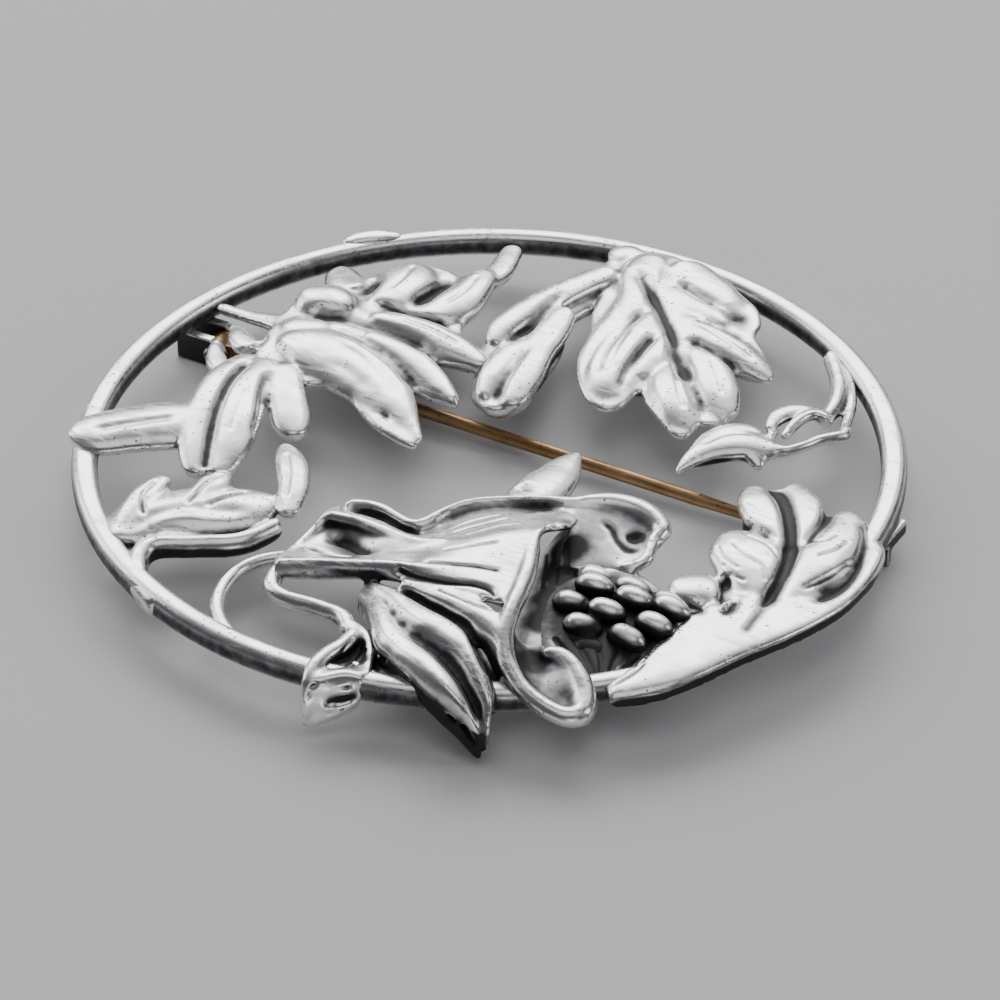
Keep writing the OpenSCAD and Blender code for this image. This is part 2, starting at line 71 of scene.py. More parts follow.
camera_data = bpy.data.cameras.new("camera")
camera_data.lens = LENS_MM
camera_data.sensor_width = SENSOR_MM
camera_data.clip_start, camera_data.clip_end = NEAREST_M, FARTHEST_M
camera = put("camera", camera_data)
azimuth = math.radians(VIEW_AZIMUTH)
elevation = math.radians(VIEW_ELEVATION)
camera.location = (
    (AIM[0] + VIEW_DISTANCE * math.sin(azimuth) * math.cos(elevation)) * MM,
    (AIM[1] - VIEW_DISTANCE * math.cos(azimuth) * math.cos(elevation)) * MM,
    (AIM[2] + VIEW_DISTANCE * math.sin(elevation)) * MM,
)
camera.rotation_euler = (math.pi / 2 - elevation, 0, azimuth)
bpy.context.scene.camera = camera
print("camera at", [round(v, 3) for v in camera.location])

# %% [markdown]
# Every petal, leaf and stem follows a short table of places along it. A Catmull-Rom curve goes
# through all of its rows, so the rows are places that can be read off the real thing, and the
# curve fills in what lies between. The same function works on a single path and on a whole
# sheet of paths.


# %% Smooth curves through tables
def through(rows, steps):
    """Rows with steps - 1 new ones between each pair: half of 2b + (c - a)t + (2a - 5b + 4c - d)t^2
    + (3b - a - 3c + d)t^3, where a, b, c and d are four rows in a line and t runs from b to c."""
    p = np.asarray(rows, float)
    last = len(p) - 1
    i = np.arange(last)
    a, b, c, d = p[np.maximum(i - 1, 0)], p[i], p[i + 1], p[np.minimum(i + 2, last)]
    t = (np.arange(steps) / steps).reshape((1, steps) + (1,) * (p.ndim - 1))
    a, b, c, d = (q[:, None] for q in (a, b, c, d))
    curve = 2 * b + (c - a) * t + (2 * a - 5 * b + 4 * c - d) * t**2 + (3 * b - a - 3 * c + d) * t**3
    return np.concatenate([(curve / 2).reshape((-1,) + p.shape[1:]), p[-1:]])


def across(path):
    """Unit vectors, level and square to a path: the path's direction turned a quarter to the left."""
    run = np.gradient(path[:, :2], axis=0)
    run /= np.linalg.norm(run, axis=1, keepdims=True)
    return np.stack([-run[:, 1], run[:, 0]], 1)


def from_ends(path):
    """The distance of each point of a path from the nearer end, measured along it."""
    along = np.concatenate([[0], np.cumsum(np.linalg.norm(np.diff(path[:, :2], axis=0), axis=1))])
    return np.minimum(along, along[-1] - along)


print("places on a curve through 3 rows:", len(through([[0, 0], [1, 1], [2, 0]], 8)))


# %% [markdown]
# A cast petal is a thin solid: domed on its front, and shallower behind. Sections across the path,
# joined into a closed tube, make it. Its ends are rounded by an ellipse, as a file would leave them,
# because a square end looks like a cut strip.

# %% Closed solids from sections
# The rounding of an end, as a part of the half width, and the least sizes that it may have
ROUND_END = 0.9
LEAST_HALF = 0.3
LEAST_REACH = 0.2
TIP_HALF = 0.02


def tube(sections):
    """Vertices and faces of a closed solid through sections, an array of section, point, xyz."""
    n, m = sections.shape[:2]
    i, k = np.meshgrid(np.arange(n - 1), np.arange(m), indexing="ij")
    a, b = i * m + k, i * m + (k + 1) % m
    walls = np.stack([a, b, b + m, a + m], -1).reshape(-1, 4).tolist()
    caps = [list(range(m - 1, -1, -1)), list(range((n - 1) * m, n * m))]
    return sections.reshape(-1, 3), walls + caps


def section_solid(path, half, rise, depth, sides):
    """A solid whose section is half an ellipse rise high over half an ellipse depth deep. The path's
    heights are those of its top, and half is its half width at each point."""
    turn = np.linspace(0, 2 * np.pi, sides, endpoint=False)
    side, up = np.cos(turn), np.sin(turn)
    out = across(path)
    xy = path[:, None, :2] + out[:, None] * side[None, :, None] * half[:, None, None]
    z = path[:, None, 2] - rise[:, None] + np.where(up > 0, rise[:, None], depth[:, None]) * up
    return tube(np.concatenate([xy, z[..., None]], -1))


def rounded(path, half):
    """Half widths that close in an ellipse towards both ends of the path."""
    reach = np.maximum(ROUND_END * np.maximum(half, LEAST_HALF), LEAST_REACH)
    part = np.clip(from_ends(path) / reach, 0, 1)
    return half * np.sqrt(1 - (1 - part) ** 2) + TIP_HALF


# %% Petals, blades, strands and bosses
CAST_T = 0.9
PETAL_DOME = 0.42
THIN_END = 0.25
THIN_GROWTH = 0.5


def petal(rows, dome=PETAL_DOME, steps=14, sides=28):
    """A domed petal or lobe. Its rows hold x, y, the height of its top and its half width."""
    fine = through(rows, steps)
    half = rounded(fine, fine[:, 3])
    depth = np.minimum(CAST_T, THIN_END + THIN_GROWTH * half)
    return section_solid(fine[:, :3], half, dome * half, depth, sides)


BLADE_DOME = 0.3
# Sections of a blade: the part of the way to its outline, and how much of its thickness lies above
BLADE_PROFILE = [[0.02, 0], [0.25, 0], [0.5, 0], [0.7, 0], [0.85, 0], [0.95, 0], [1, 0],
                 [1, 0.5], [0.95, 0.7], [0.8, 1], [0.5, 1], [0.02, 1]]


def blade(centre, outline, steps=8):
    """A plate inside a closed smooth outline of x, y and top height. At the part r of the way from the
    centre to the outline its top is dome (1 - r^2) above the straight line between their heights, and
    it is as thick as the casting in the middle and half of that at its edge."""
    rows = np.asarray(outline, float)
    edge = through(np.concatenate([rows[-2:], rows, rows[:2]]), steps)[2 * steps:-steps - 1]
    parts, lower = np.array(BLADE_PROFILE).T
    middle = np.asarray(centre, float)
    sections = middle + parts[:, None, None] * (edge - middle)[None]
    sections[..., 2] += (BLADE_DOME * (1 - parts**2) - lower * CAST_T)[:, None]
    return tube(sections)


def strand(rows, steps=14, sides=20):
    """A round strand along its rows of x, y, top height and half width."""
    fine = through(rows, steps)
    half = rounded(fine, fine[:, 3])
    return section_solid(fine[:, :3], half, (fine[:, 3] + half) / 2, half, sides)


BOSS_DOME = 0.45
# A boss along its middle: place and half width, in parts of its radius, and the drop of its top in mm
BOSS_PROFILE = [[-1, 0.15, 0.5], [-0.7, 0.75, 0.2], [0, 1, 0], [0.7, 0.75, 0.2], [1, 0.15, 0.5]]


def boss(x, y, h, r):
    """A low round dome, made as a short petal as wide as it is long."""
    return petal([[x + a * r, y, h - drop, wide * r] for a, wide, drop in BOSS_PROFILE], BOSS_DOME, steps=8)


print("points of a boss:", len(boss(0, 0, 1, 1)[0]))

# %% [markdown]
# The trumpet flower, its lip and the long leaf are bent sheets with flutes. Each flute or valley is a
# row of the table, and the surface through all rows is a smooth patch in both directions. A modelled
# cloth or a sculpted mesh could fold as well, but a table can be read and corrected row by row.

# %% Fluted sheets
EDGE_PART = 0.5


def fluted(flutes, thick=1.0, steps=8):
    """A closed sheet: a patch through a grid of x, y and height, with a second one below it. It is
    thick in the middle, and thins to half of that at its border within one step of the table."""
    columns = np.swapaxes(np.asarray(flutes, float), 0, 1)
    grid = through(np.swapaxes(through(columns, steps), 0, 1), steps)
    n, m = grid.shape[:2]
    i, j = np.meshgrid(np.arange(n), np.arange(m), indexing="ij")
    inside = np.minimum.reduce([i, j, n - 1 - i, m - 1 - j]) / steps * 2
    under = grid.copy()
    under[..., 2] -= thick * (EDGE_PART + (1 - EDGE_PART) * np.clip(inside, 0, 1))
    size = n * m
    a = (np.arange(n - 1)[:, None] * m + np.arange(m - 1)).ravel()
    top = np.stack([a, a + 1, a + m + 1, a + m], 1)
    back = np.stack([a, a + m, a + m + 1, a + 1], 1) + size
    edge = np.concatenate([np.arange(m - 1), np.arange(n - 1) * m + m - 1,
                           np.arange(m - 1, 0, -1) + (n - 1) * m, np.arange(n - 1, 0, -1) * m])
    step = np.roll(edge, -1)
    wall = np.stack([edge, edge + size, step + size, step], 1)
    points = np.concatenate([grid.reshape(-1, 3), under.reshape(-1, 3)])
    return points, np.concatenate([top, back, wall]).tolist()


print("a sheet's border is", EDGE_PART, "of its thickness")

# %% [markdown]
# A casting has no seams: where a petal grows out of another, wax has filled the corner. So the parts of
# one flower are put together, turned into one skin by Blender's voxel Remesh, and relaxed, which
# rounds the corners as the wax did. Relaxing moves each point part of the way towards the mean of its
# neighbours, again and again. A bevel could round them too, but it needs clean edges to work on.

# %% One skin from many solids
RING_Z = 2.8


def relax(points, edges, shares):
    """Points moved towards their neighbours' mean, by each share of the way there in turn."""
    count = np.bincount(edges.ravel(), minlength=len(points))[:, None]
    for share in shares:
        near = np.stack([
            np.bincount(edges[:, 0], weights=points[edges[:, 1], k], minlength=len(points))
            + np.bincount(edges[:, 1], weights=points[edges[:, 0], k], minlength=len(points))
            for k in range(3)
        ], 1) / count
        points = points + share * (near - points)
    return points


def new_mesh(name, points, faces):
    """A mesh, in metres, of points in millimetres and faces."""
    mesh = bpy.data.meshes.new(name)
    mesh.from_pydata((points * MM).tolist(), [], faces)
    return mesh


def skin(name, parts, voxel):
    """One closed mesh, in metres, around solids given in millimetres from the ring's centre plane."""
    points, faces, start = [], [], 0
    for p, f in parts:
        points.append(p)
        faces += [[v + start for v in face] for face in f]
        start += len(p)
    mesh = new_mesh(name, np.concatenate(points) + [0, 0, RING_Z], faces)
    loose = put(name, mesh)
    remesh = loose.modifiers.new("skin", "REMESH")
    remesh.mode = "VOXEL"
    remesh.voxel_size = voxel * MM
    whole = bpy.data.meshes.new_from_object(loose.evaluated_get(bpy.context.evaluated_depsgraph_get()))
    bpy.data.objects.remove(loose)
    bpy.data.meshes.remove(mesh)
    whole.name = name
    return whole


print("the ring's centre plane is", RING_Z, "mm up")

# %% [markdown]
# The finer lines, such as the veins of a leaf and the creases of a petal, were cut into the wax with a
# tool. A groove here is a table of places with a width and a depth, and it pushes the skin in by the
# depth times a bell curve of the distance from its line. That cuts real geometry, which a bump
# texture would only feign.

# %% Grooves and unevenness
FINE_CUT = 0.2
BELL_REACH = 3
FADE_REACH = 2.5
FRONT_GAIN, FRONT_START = 2.5, 0.2
WAVES = 12
WAVE_SPREAD = (0.6, 1.6)
FULL_TURN = 6.3


def carve(points, normals, lines):
    """Points pushed inwards by depth * exp(-(distance / width)^2), fading to nothing over the line's
    ends. Only the front is carved, so the bell is scaled by how far the skin faces +Z. The second
    result is the push of the fine lines alone, where dirt stays."""
    push = np.zeros(len(points))
    fine = np.zeros(len(points))
    front = np.clip(normals[:, 2] * FRONT_GAIN - FRONT_START, 0, 1)
    for width, depth, rows in lines:
        path = through(rows, 40)
        low, high = path.min(0) - BELL_REACH * width, path.max(0) + BELL_REACH * width
        inside = (points[:, :2] > low).all(1) & (points[:, :2] < high).all(1)
        near = np.flatnonzero(inside & (front > 0))
        if not len(near):
            continue
        far = ((points[near, None, :2] - path[None]) ** 2).sum(-1)
        best = far.argmin(1)
        fade = np.clip(from_ends(path) / (FADE_REACH * width), 0, 1)
        cut = depth * fade[best] * np.exp(-far[np.arange(len(near)), best] / width**2) * front[near]
        push[near] += cut
        if width < FINE_CUT:
            fine[near] += cut
    return points - normals * push[:, None], fine


def wobble(points, size, height, seed):
    """Heights of a soft uneven skin: height times the mean of twelve sine waves in random directions,
    each of about the given size and with a random start."""
    chance = np.random.default_rng(seed)
    waves = chance.normal(size=(WAVES, 3))
    longest = 2 * np.pi / size / np.linalg.norm(waves, axis=1, keepdims=True)
    waves *= longest * chance.uniform(*WAVE_SPREAD, (WAVES, 1))
    return height * np.sin(points @ waves.T + chance.uniform(0, FULL_TURN, WAVES)).mean(1)


print("lines narrower than", FINE_CUT, "mm keep dirt")

# %% [markdown]
# Old silver is dark where polishing never reaches and bright where it always does. To tell the
# material which is which, each point of a piece keeps how deep it lies below its own surroundings,
# worked out by relaxing a copy of the skin and measuring how far the point lies beneath it; steep
# sides get more of it as painted shade. It is stored as a number on each point, an attribute named
# hollow, with 0.42 for a flat place. Listed places add more of it, as single places or as a
# line of them: patina in corners that no cloth reaches, and painted shade on lower walls, undersides
# and deep hollows.

# %% How deep a point lies, and its painted shade
FLAT = 0.42
# The steepness gain paints shade: it darkens a place by how steep it is
FINE_GAIN, BROAD_GAIN, STEEP_SHADE_GAIN = 3.5, 1.8, 0.55
RELAX_SHARE = 0.55
FINE_STEPS, BROAD_STEPS = 6, 80
LEVEL_GAIN = 1.1
STEEP_POWER = 1.3
DARK_FADE = 0.5


def hollow_of(points, normals, edges):
    """FLAT, plus a gain times the depth below a slightly and below a much relaxed skin, plus a gain
    times the steepness, which paints shade: towards 1 in a recess or on a steep side, and towards 0 on a
    ridge."""
    fine, broad = (((relax(points, edges, [RELAX_SHARE] * steps) - points) * normals).sum(1)
                   for steps in (FINE_STEPS, BROAD_STEPS))
    steep = 1 - np.clip(np.abs(normals[:, 2]) * LEVEL_GAIN, 0, 1)
    return np.clip(FLAT + FINE_GAIN * fine + BROAD_GAIN * broad + STEEP_SHADE_GAIN * steep**STEEP_POWER, 0, 1)


def unpolished_and_shaded(points, dark):
    """What the listed dark places add to hollow: patina where no cloth reaches and painted shade
    on lower walls, undersides and deep hollows, each amount * exp(-(distance / radius)^2) below a
    top height, fading out over the half millimetre above it."""
    extra = np.zeros(len(points))
    for x, y, top, radius, amount in dark:
        near = np.exp(-((points[:, :2] - [x, y]) ** 2).sum(1) / radius**2)
        extra += amount * near * np.clip((top + DARK_FADE + RING_Z - points[:, 2]) / DARK_FADE, 0, 1)
    return extra


def dark_line(radius, amount, rows, top=0.0):
    """Dark places close together along a path, each with amount times its share of radius * sqrt(pi),
    so that they add up to amount. A row has x and y, and may have a top height of its own."""
    path = through([[*row, top][:3] for row in rows], 8)
    share = np.linalg.norm(np.gradient(path[:, :2], axis=0), axis=1) / (radius * math.sqrt(math.pi))
    return [(*spot, radius, amount * part) for spot, part in zip(path, share)]


print("a flat place keeps the number", FLAT)

# %% [markdown]
# Every cast piece is finished in the same order as at the bench: joined, rounded, cut, left slightly
# uneven, and darkened, by its patina and by painted shade. One function does all of it, so a piece is
# only its tables.

# %% Finish a piece
FILING = [0.55, 0.3]
DIRT = 1.3
UNEVEN_SIZE = 2.2
CLEAR_OF_FLOOR = 0.02
BACK_GAIN, BACK_START = 3, 2.6


def keep_hollow(mesh, values):
    """The attribute named hollow, with one value for each point."""
    kept = mesh.attributes.new("hollow", "FLOAT", "POINT")
    kept.data.foreach_set("value", values.astype(np.float32))


def place(mesh, material, body="brooch", node="openwork"):
    """The mesh as a piece that rides on a CAD body and stands for a node."""
    piece = put(mesh.name, mesh)
    mesh.polygons.foreach_set("use_smooth", np.ones(len(mesh.polygons), bool))
    mesh.materials.clear()
    mesh.materials.append(material)
    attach(piece, body)
    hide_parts(node)
    return piece


def cast(name, parts, voxel=0.13, rounds=6, lines=(), dark=(), seed=1, uneven=0.025):
    """A cast piece: one skin around its parts, relaxed, carved and left slightly uneven. The dark
    places are left out on its flat back, where the skin faces -Z."""
    mesh = skin(name, parts, voxel)
    count = len(mesh.vertices)
    flat = np.empty(count * 3)
    mesh.vertices.foreach_get("co", flat)
    points = flat.reshape(-1, 3) / MM
    ends = np.empty(len(mesh.edges) * 2, int)
    mesh.edges.foreach_get("vertices", ends)
    edges = ends.reshape(-1, 2)
    points = relax(points, edges, FILING * rounds)

    def normals_of(p):
        mesh.vertices.foreach_set("co", (p * MM).ravel())
        mesh.update()
        out = np.empty(count * 3)
        mesh.vertex_normals.foreach_get("vector", out)
        return out.reshape(-1, 3)

    normals = normals_of(points)
    points, fine = carve(points, normals, lines)
    points = points + normals * wobble(points, UNEVEN_SIZE, uneven, seed)[:, None]
    points[:, 2] = np.maximum(points[:, 2], CLEAR_OF_FLOOR)
    normals = normals_of(points)
    # The listed places add patina and painted shade, and the fine lines add dirt
    extra = unpolished_and_shaded(points, dark) * np.clip(normals[:, 2] * BACK_GAIN + BACK_START, 0, 1)
    keep_hollow(mesh, np.clip(hollow_of(points, normals, edges) + extra + DIRT * fine, 0, 1))
    print(name, "triangles", sum(len(p.vertices) - 2 for p in mesh.polygons))
    return place(mesh, silver)


# %% [markdown]
# Three effects cover both metals, so each is a node group with its own values in each material.
# Tarnish is dark where polishing doesn't reach: the number kept on each point says how deep it lies,
# and it also holds painted shade on steep and lower sides. Ambient occlusion paints shade into the gaps
# between two pieces and near the floor, where patina lies too. Noise breaks its edge up, as rubbing
# does. A thin grey film comes before the black, and the same grey is painted shade on steep sides, so
# the group gives out both. Scratches are noise that is stretched a lot in one direction, and pits are
# small round cells.


# %% Shared finish groups
def group(name, inputs, outputs):
    """An empty node group with float sockets, given as names and defaults, and its two end nodes."""
    tree = bpy.data.node_groups.new(name, "ShaderNodeTree")
    for label, value in inputs:
        given = tree.interface.new_socket(label, in_out="INPUT", socket_type="NodeSocketFloat")
        given.default_value = value
    for label in outputs:
        tree.interface.new_socket(label, in_out="OUTPUT", socket_type="NodeSocketFloat")
    return tree, tree.nodes.new("NodeGroupInput"), tree.nodes.new("NodeGroupOutput")


def feed(tree, socket, value):
    """A socket linked to another one, or set to a plain value. None leaves it as it is."""
    if isinstance(value, bpy.types.NodeSocket):
        tree.links.new(value, socket)
    elif value is not None:
        socket.default_value = value


def math_node(tree, operation, first, second=None, third=None):
    """A Math node fed by sockets or plain numbers, and its output."""
    node = tree.nodes.new("ShaderNodeMath")
    node.operation = operation
    for socket, value in zip(node.inputs, (first, second, third)):
        feed(tree, socket, value)
    return node.outputs[0]


def ramp(tree, value, low, high):
    """0 below low and 1 above high, with a smooth step between."""
    node = tree.nodes.new("ShaderNodeMapRange")
    node.interpolation_type = "SMOOTHSTEP"
    for label, fed in (("Value", value), ("From Min", low), ("From Max", high)):
        feed(tree, node.inputs[label], fed)
    return node.outputs[0]


def noise(tree, scale, detail=3, turn=0.0, stretch=(1, 1, 1)):
    """Noise on Object coordinates, turned about Z and then stretched, and its value."""
    place_node = tree.nodes.new("ShaderNodeTexCoord")
    mapping = tree.nodes.new("ShaderNodeMapping")
    mapping.inputs["Rotation"].default_value = (0, 0, turn)
    mapping.inputs["Scale"].default_value = stretch
    texture = tree.nodes.new("ShaderNodeTexNoise")
    texture.inputs["Detail"].default_value = detail
    feed(tree, texture.inputs["Scale"], scale)
    tree.links.new(place_node.outputs["Object"], mapping.inputs["Vector"])
    tree.links.new(mapping.outputs["Vector"], texture.inputs["Vector"])
    return texture.outputs["Fac"]


# %% Tarnish and painted shade, scratches and pits
# Ambient occlusion that paints shade, with patina, into gaps between pieces and near the floor: its reach
# and its two limits
GAP_REACH_M = 0.0016
GAP_START, GAP_FULL = 0.35, 0.8
SCRATCH_TURNS = (0.4, 1.3, 2.5)
SCRATCH_STRETCH = (0.06, 1, 1)
SCRATCH_LEVEL = 0.56
SCRATCH_PATCH, PATCH_START, PATCH_FULL = 260, 0.5, 0.62
PIT_PATCH = 420


def tarnish_and_shade_group():
    """Mask = smooth step of PatinaAndShade + spread (noise - 0.5) between Start and Full, or the occlusion,
    which paints shade into gaps and near the floor. Film is the same step between its own two
    limits, for the thin grey that comes before the black and for grey painted shade on steep sides."""
    inputs = [("PatinaAndShade", 0.5), ("FilmStart", 0.45), ("FilmFull", 0.7), ("Start", 0.6), ("Full", 0.9),
              ("Spread", 0.3), ("Grain", 900), ("Gap", 0.6)]
    tree, start, end = group("tarnish_and_shade", inputs, ["Film", "Mask"])
    given = start.outputs
    rub = math_node(tree, "SUBTRACT", noise(tree, given["Grain"], 5), 0.5)
    edge = math_node(tree, "MULTIPLY_ADD", rub, given["Spread"], given["PatinaAndShade"])
    deep = ramp(tree, edge, given["Start"], given["Full"])
    tree.links.new(ramp(tree, edge, given["FilmStart"], given["FilmFull"]), end.inputs["Film"])
    shade = tree.nodes.new("ShaderNodeAmbientOcclusion")
    shade.samples = 8
    shade.inputs["Distance"].default_value = GAP_REACH_M
    closed = math_node(tree, "SUBTRACT", 1.0, shade.outputs["AO"])
    gap = math_node(tree, "MULTIPLY", ramp(tree, closed, GAP_START, GAP_FULL), given["Gap"])
    tree.links.new(math_node(tree, "MAXIMUM", deep, gap), end.inputs["Mask"])
    return tree


def scratch_group():
    """Lines where noise stretched in one direction passes through a narrow band of its values."""
    tree, start, end = group("scratches", [("Scale", 900), ("Width", 0.02)], ["Mask"])
    total = None
    for turn in SCRATCH_TURNS:
        fine = noise(tree, start.outputs["Scale"], 1, turn, SCRATCH_STRETCH)
        near = math_node(tree, "ABSOLUTE", math_node(tree, "SUBTRACT", fine, SCRATCH_LEVEL))
        line = math_node(tree, "LESS_THAN", near, start.outputs["Width"])
        patch = ramp(tree, noise(tree, SCRATCH_PATCH, 1, turn + 2), PATCH_START, PATCH_FULL)
        line = math_node(tree, "MULTIPLY", line, patch)
        total = line if total is None else math_node(tree, "MAXIMUM", total, line)
    tree.links.new(total, end.inputs["Mask"])
    return tree


def pit_group():
    """Round spots within a radius of scattered points, kept only where a broad noise is high."""
    tree, start, end = group("pits", [("Scale", 2200), ("Radius", 0.2), ("Rarity", 0.55)], ["Mask"])
    place_node = tree.nodes.new("ShaderNodeTexCoord")
    cells = tree.nodes.new("ShaderNodeTexVoronoi")
    tree.links.new(place_node.outputs["Object"], cells.inputs["Vector"])
    tree.links.new(start.outputs["Scale"], cells.inputs["Scale"])
    spot = math_node(tree, "LESS_THAN", cells.outputs["Distance"], start.outputs["Radius"])
    patch = math_node(tree, "GREATER_THAN", noise(tree, PIT_PATCH, 2), start.outputs["Rarity"])
    tree.links.new(math_node(tree, "MULTIPLY", spot, patch), end.inputs["Mask"])
    return tree


tarnish_and_shade, scratches, pits = tarnish_and_shade_group(), scratch_group(), pit_group()
print("finish groups:", tarnish_and_shade.name, scratches.name, pits.name)

# %% [markdown]
# Silver and brass are both metals, so their colour is the colour of what they mirror. A thin grey film
# lies where polishing comes less often, and a black tarnish where it never does; the same grey and
# black are also painted shade on steep sides, lower walls, undersides and gaps. The tarnish is
# rougher than the metal, which keeps the hollows dark from every side. The polished parts keep a
# soft gloss, because this brooch has been worn for years.


# %% Metals
def use(tree, shared, **values):
    """A shared group placed in a material, with plain numbers set on its own sockets."""
    node = tree.nodes.new("ShaderNodeGroup")
    node.node_tree = shared
    for label, value in values.items():
        node.inputs[label].default_value = value
    return node


def blend_colour(tree, part, first, second):
    """A colour between two, which are sockets or plain colours."""
    node = tree.nodes.new("ShaderNodeMix")
    node.data_type = "RGBA"
    tree.links.new(part, node.inputs["Factor"])
    for k, value in ((6, first), (7, second)):
        feed(tree, node.inputs[k], (*value, 1) if isinstance(value, tuple) else value)
    return node.outputs[2]


# Scales of the noise, counted in each metre
TONE_SCALE, CLOUD_SCALE, GRAIN_SCALE = 330, 700, 1500
TONE_START, TONE_FULL = 0.35, 0.65
# How much of the metal a full film and a pit cover
FILM_COVER, PIT_COVER = 0.85, 0.7
# What clouds, scratches and film add to the roughness
CLOUD_ROUGH, SCRATCH_ROUGH, FILM_ROUGH = 0.14, 0.12, 0.1
# How metallic the black tarnish still is
TARNISH_METALLIC = 0.55
# Heights of scratches, pits and grain, in parts of the bump's depth
SCRATCH_HIGH, PIT_HIGH, GRAIN_HIGH = -0.5, -1.0, 0.8
BUMP_STRENGTH = 0.35
BUMP_DEPTH_M = 0.00003


def metal(name, bright, second, film, dark, gloss, dull, mask_from, **tarnish_and_shade_values):
    """A metal whose colour and roughness go from polished through a grey film to tarnished; the grey and the
    black also carry painted shade.
    """
    made = bpy.data.materials.new(name)
    made.use_nodes = True
    tree = made.node_tree
    shader = tree.nodes["Principled BSDF"]
    shade = use(tree, tarnish_and_shade, **tarnish_and_shade_values)
    if mask_from:
        hollow = tree.nodes.new("ShaderNodeAttribute")
        hollow.attribute_name = mask_from
        tree.links.new(hollow.outputs["Fac"], shade.inputs["PatinaAndShade"])
    mask = shade.outputs["Mask"]
    tone = ramp(tree, noise(tree, TONE_SCALE), TONE_START, TONE_FULL)
    polished = blend_colour(tree, tone, bright, second)
    veil = math_node(tree, "MULTIPLY", shade.outputs["Film"], FILM_COVER)
    polished = blend_colour(tree, veil, polished, film)
    spots = use(tree, pits).outputs["Mask"]
    lines = use(tree, scratches).outputs["Mask"]
    all_dark = math_node(tree, "MAXIMUM", mask, math_node(tree, "MULTIPLY", spots, PIT_COVER))
    tree.links.new(blend_colour(tree, all_dark, polished, dark), shader.inputs["Base Color"])
    cloudy = noise(tree, CLOUD_SCALE, 4)
    cloud = math_node(tree, "MULTIPLY_ADD", cloudy, CLOUD_ROUGH, gloss - CLOUD_ROUGH / 2)
    cloud = math_node(tree, "MULTIPLY_ADD", lines, SCRATCH_ROUGH, cloud)
    cloud = math_node(tree, "MULTIPLY_ADD", veil, FILM_ROUGH, cloud)
    rough = tree.nodes.new("ShaderNodeMix")
    tree.links.new(all_dark, rough.inputs["Factor"])
    tree.links.new(cloud, rough.inputs[2])
    rough.inputs[3].default_value = dull
    tree.links.new(rough.outputs[0], shader.inputs["Roughness"])
    metallic = math_node(tree, "MULTIPLY_ADD", all_dark, TARNISH_METALLIC - 1, 1.0)
    tree.links.new(metallic, shader.inputs["Metallic"])
    height = math_node(tree, "MULTIPLY", lines, SCRATCH_HIGH)
    height = math_node(tree, "MULTIPLY_ADD", spots, PIT_HIGH, height)
    height = math_node(tree, "MULTIPLY_ADD", noise(tree, GRAIN_SCALE), GRAIN_HIGH, height)
    bump = tree.nodes.new("ShaderNodeBump")
    bump.inputs["Strength"].default_value = BUMP_STRENGTH
    bump.inputs["Distance"].default_value = BUMP_DEPTH_M
    tree.links.new(height, bump.inputs["Height"])
    tree.links.new(bump.outputs["Normal"], shader.inputs["Normal"])
    return made


# The film and dark colours also stand for painted shade, where hollow and the occlusion put it
silver = metal(
    "oxidised_silver", bright=(0.93, 0.92, 0.9), second=(0.82, 0.82, 0.84), film=(0.36, 0.37, 0.39),
    dark=(0.022, 0.022, 0.025), gloss=0.27, dull=0.5, mask_from="hollow", FilmStart=0.44, FilmFull=0.74,
    Start=0.58, Full=0.88, Spread=0.24, Grain=1300, Gap=0.9)
brass = metal(
    "worn_brass", bright=(0.46, 0.29, 0.15), second=(0.36, 0.21, 0.1), film=(0.24, 0.14, 0.08),
    dark=(0.08, 0.05, 0.03), gloss=0.36, dull=0.55, mask_from=None, FilmStart=0.5, FilmFull=0.7,
    Start=0.6, Full=0.75, Spread=0.5, Grain=700, Gap=0.5)
for slot_of in bpy.data.objects["pin_stem"].material_slots:
    slot_of.material = brass
print("metals:", silver.name, brass.name)

# %% [markdown]
# The ring is drawn wire, soldered into a circle. Its section is an ellipse with flattened sides, so it
# is a profile turned about the vertical axis, with a slight unevenness along it from hammering.

# %% Ring
RING_R = 27
WIRE_W = 1.8
WIRE_T = 1.8
SQUARE_POWER = 0.75
HAMMER_PART = 0.02
# The number named hollow on the wire: at its top, and the painted shade that its sides add
WIRE_TOP, WIRE_SIDE_SHADE = 0.36, 0.48


def ring_mesh(turns=420, sides=28):
    """Points at radius R + w/2 c and height t/2 s, where c and s are cos v and sin v raised to the power
    0.75 with their signs kept, which flattens the wire's four sides, and w varies slowly by angle."""
    u, v = np.meshgrid(np.linspace(0, 2 * np.pi, turns, endpoint=False),
                       np.linspace(0, 2 * np.pi, sides, endpoint=False), indexing="ij")
    slow = 1 - HAMMER_PART * (1 + np.sin(5 * u + 1) * np.cos(3 * u))
    c, s = (np.sign(w) * np.abs(w) ** SQUARE_POWER for w in (np.cos(v), np.sin(v)))
    r = RING_R + WIRE_W / 2 * slow * c
    points = np.stack([r * np.cos(u), r * np.sin(u), RING_Z + WIRE_T / 2 * slow * s], -1)
    i, k = np.meshgrid(np.arange(turns), np.arange(sides), indexing="ij")
    a, b = i * sides + k, i * sides + (k + 1) % sides
    c, d = (i + 1) % turns * sides + (k + 1) % sides, (i + 1) % turns * sides + k
    faces = np.stack([a, d, c, b], -1).reshape(-1, 4).tolist()
    mesh = new_mesh("ring", points.reshape(-1, 3), faces)
    # Painted shade: the wire's inner and outer sides are darker than its top
    keep_hollow(mesh, WIRE_TOP + WIRE_SIDE_SHADE * np.abs(np.cos(v)).ravel() ** 4)
    return mesh


ring = place(ring_mesh(), silver)
print("ring faces:", len(ring.data.polygons))

# %% [markdown]
# The trumpet flower is the brooch's main relief. Its tube opens to the right into a fan with a rolled
# lip, and its lower side hangs over the ring as a narrow fold and a long tongue with two crests. Each
# of them is a fluted sheet, and the rounded rims are strands half sunk into the sheets.

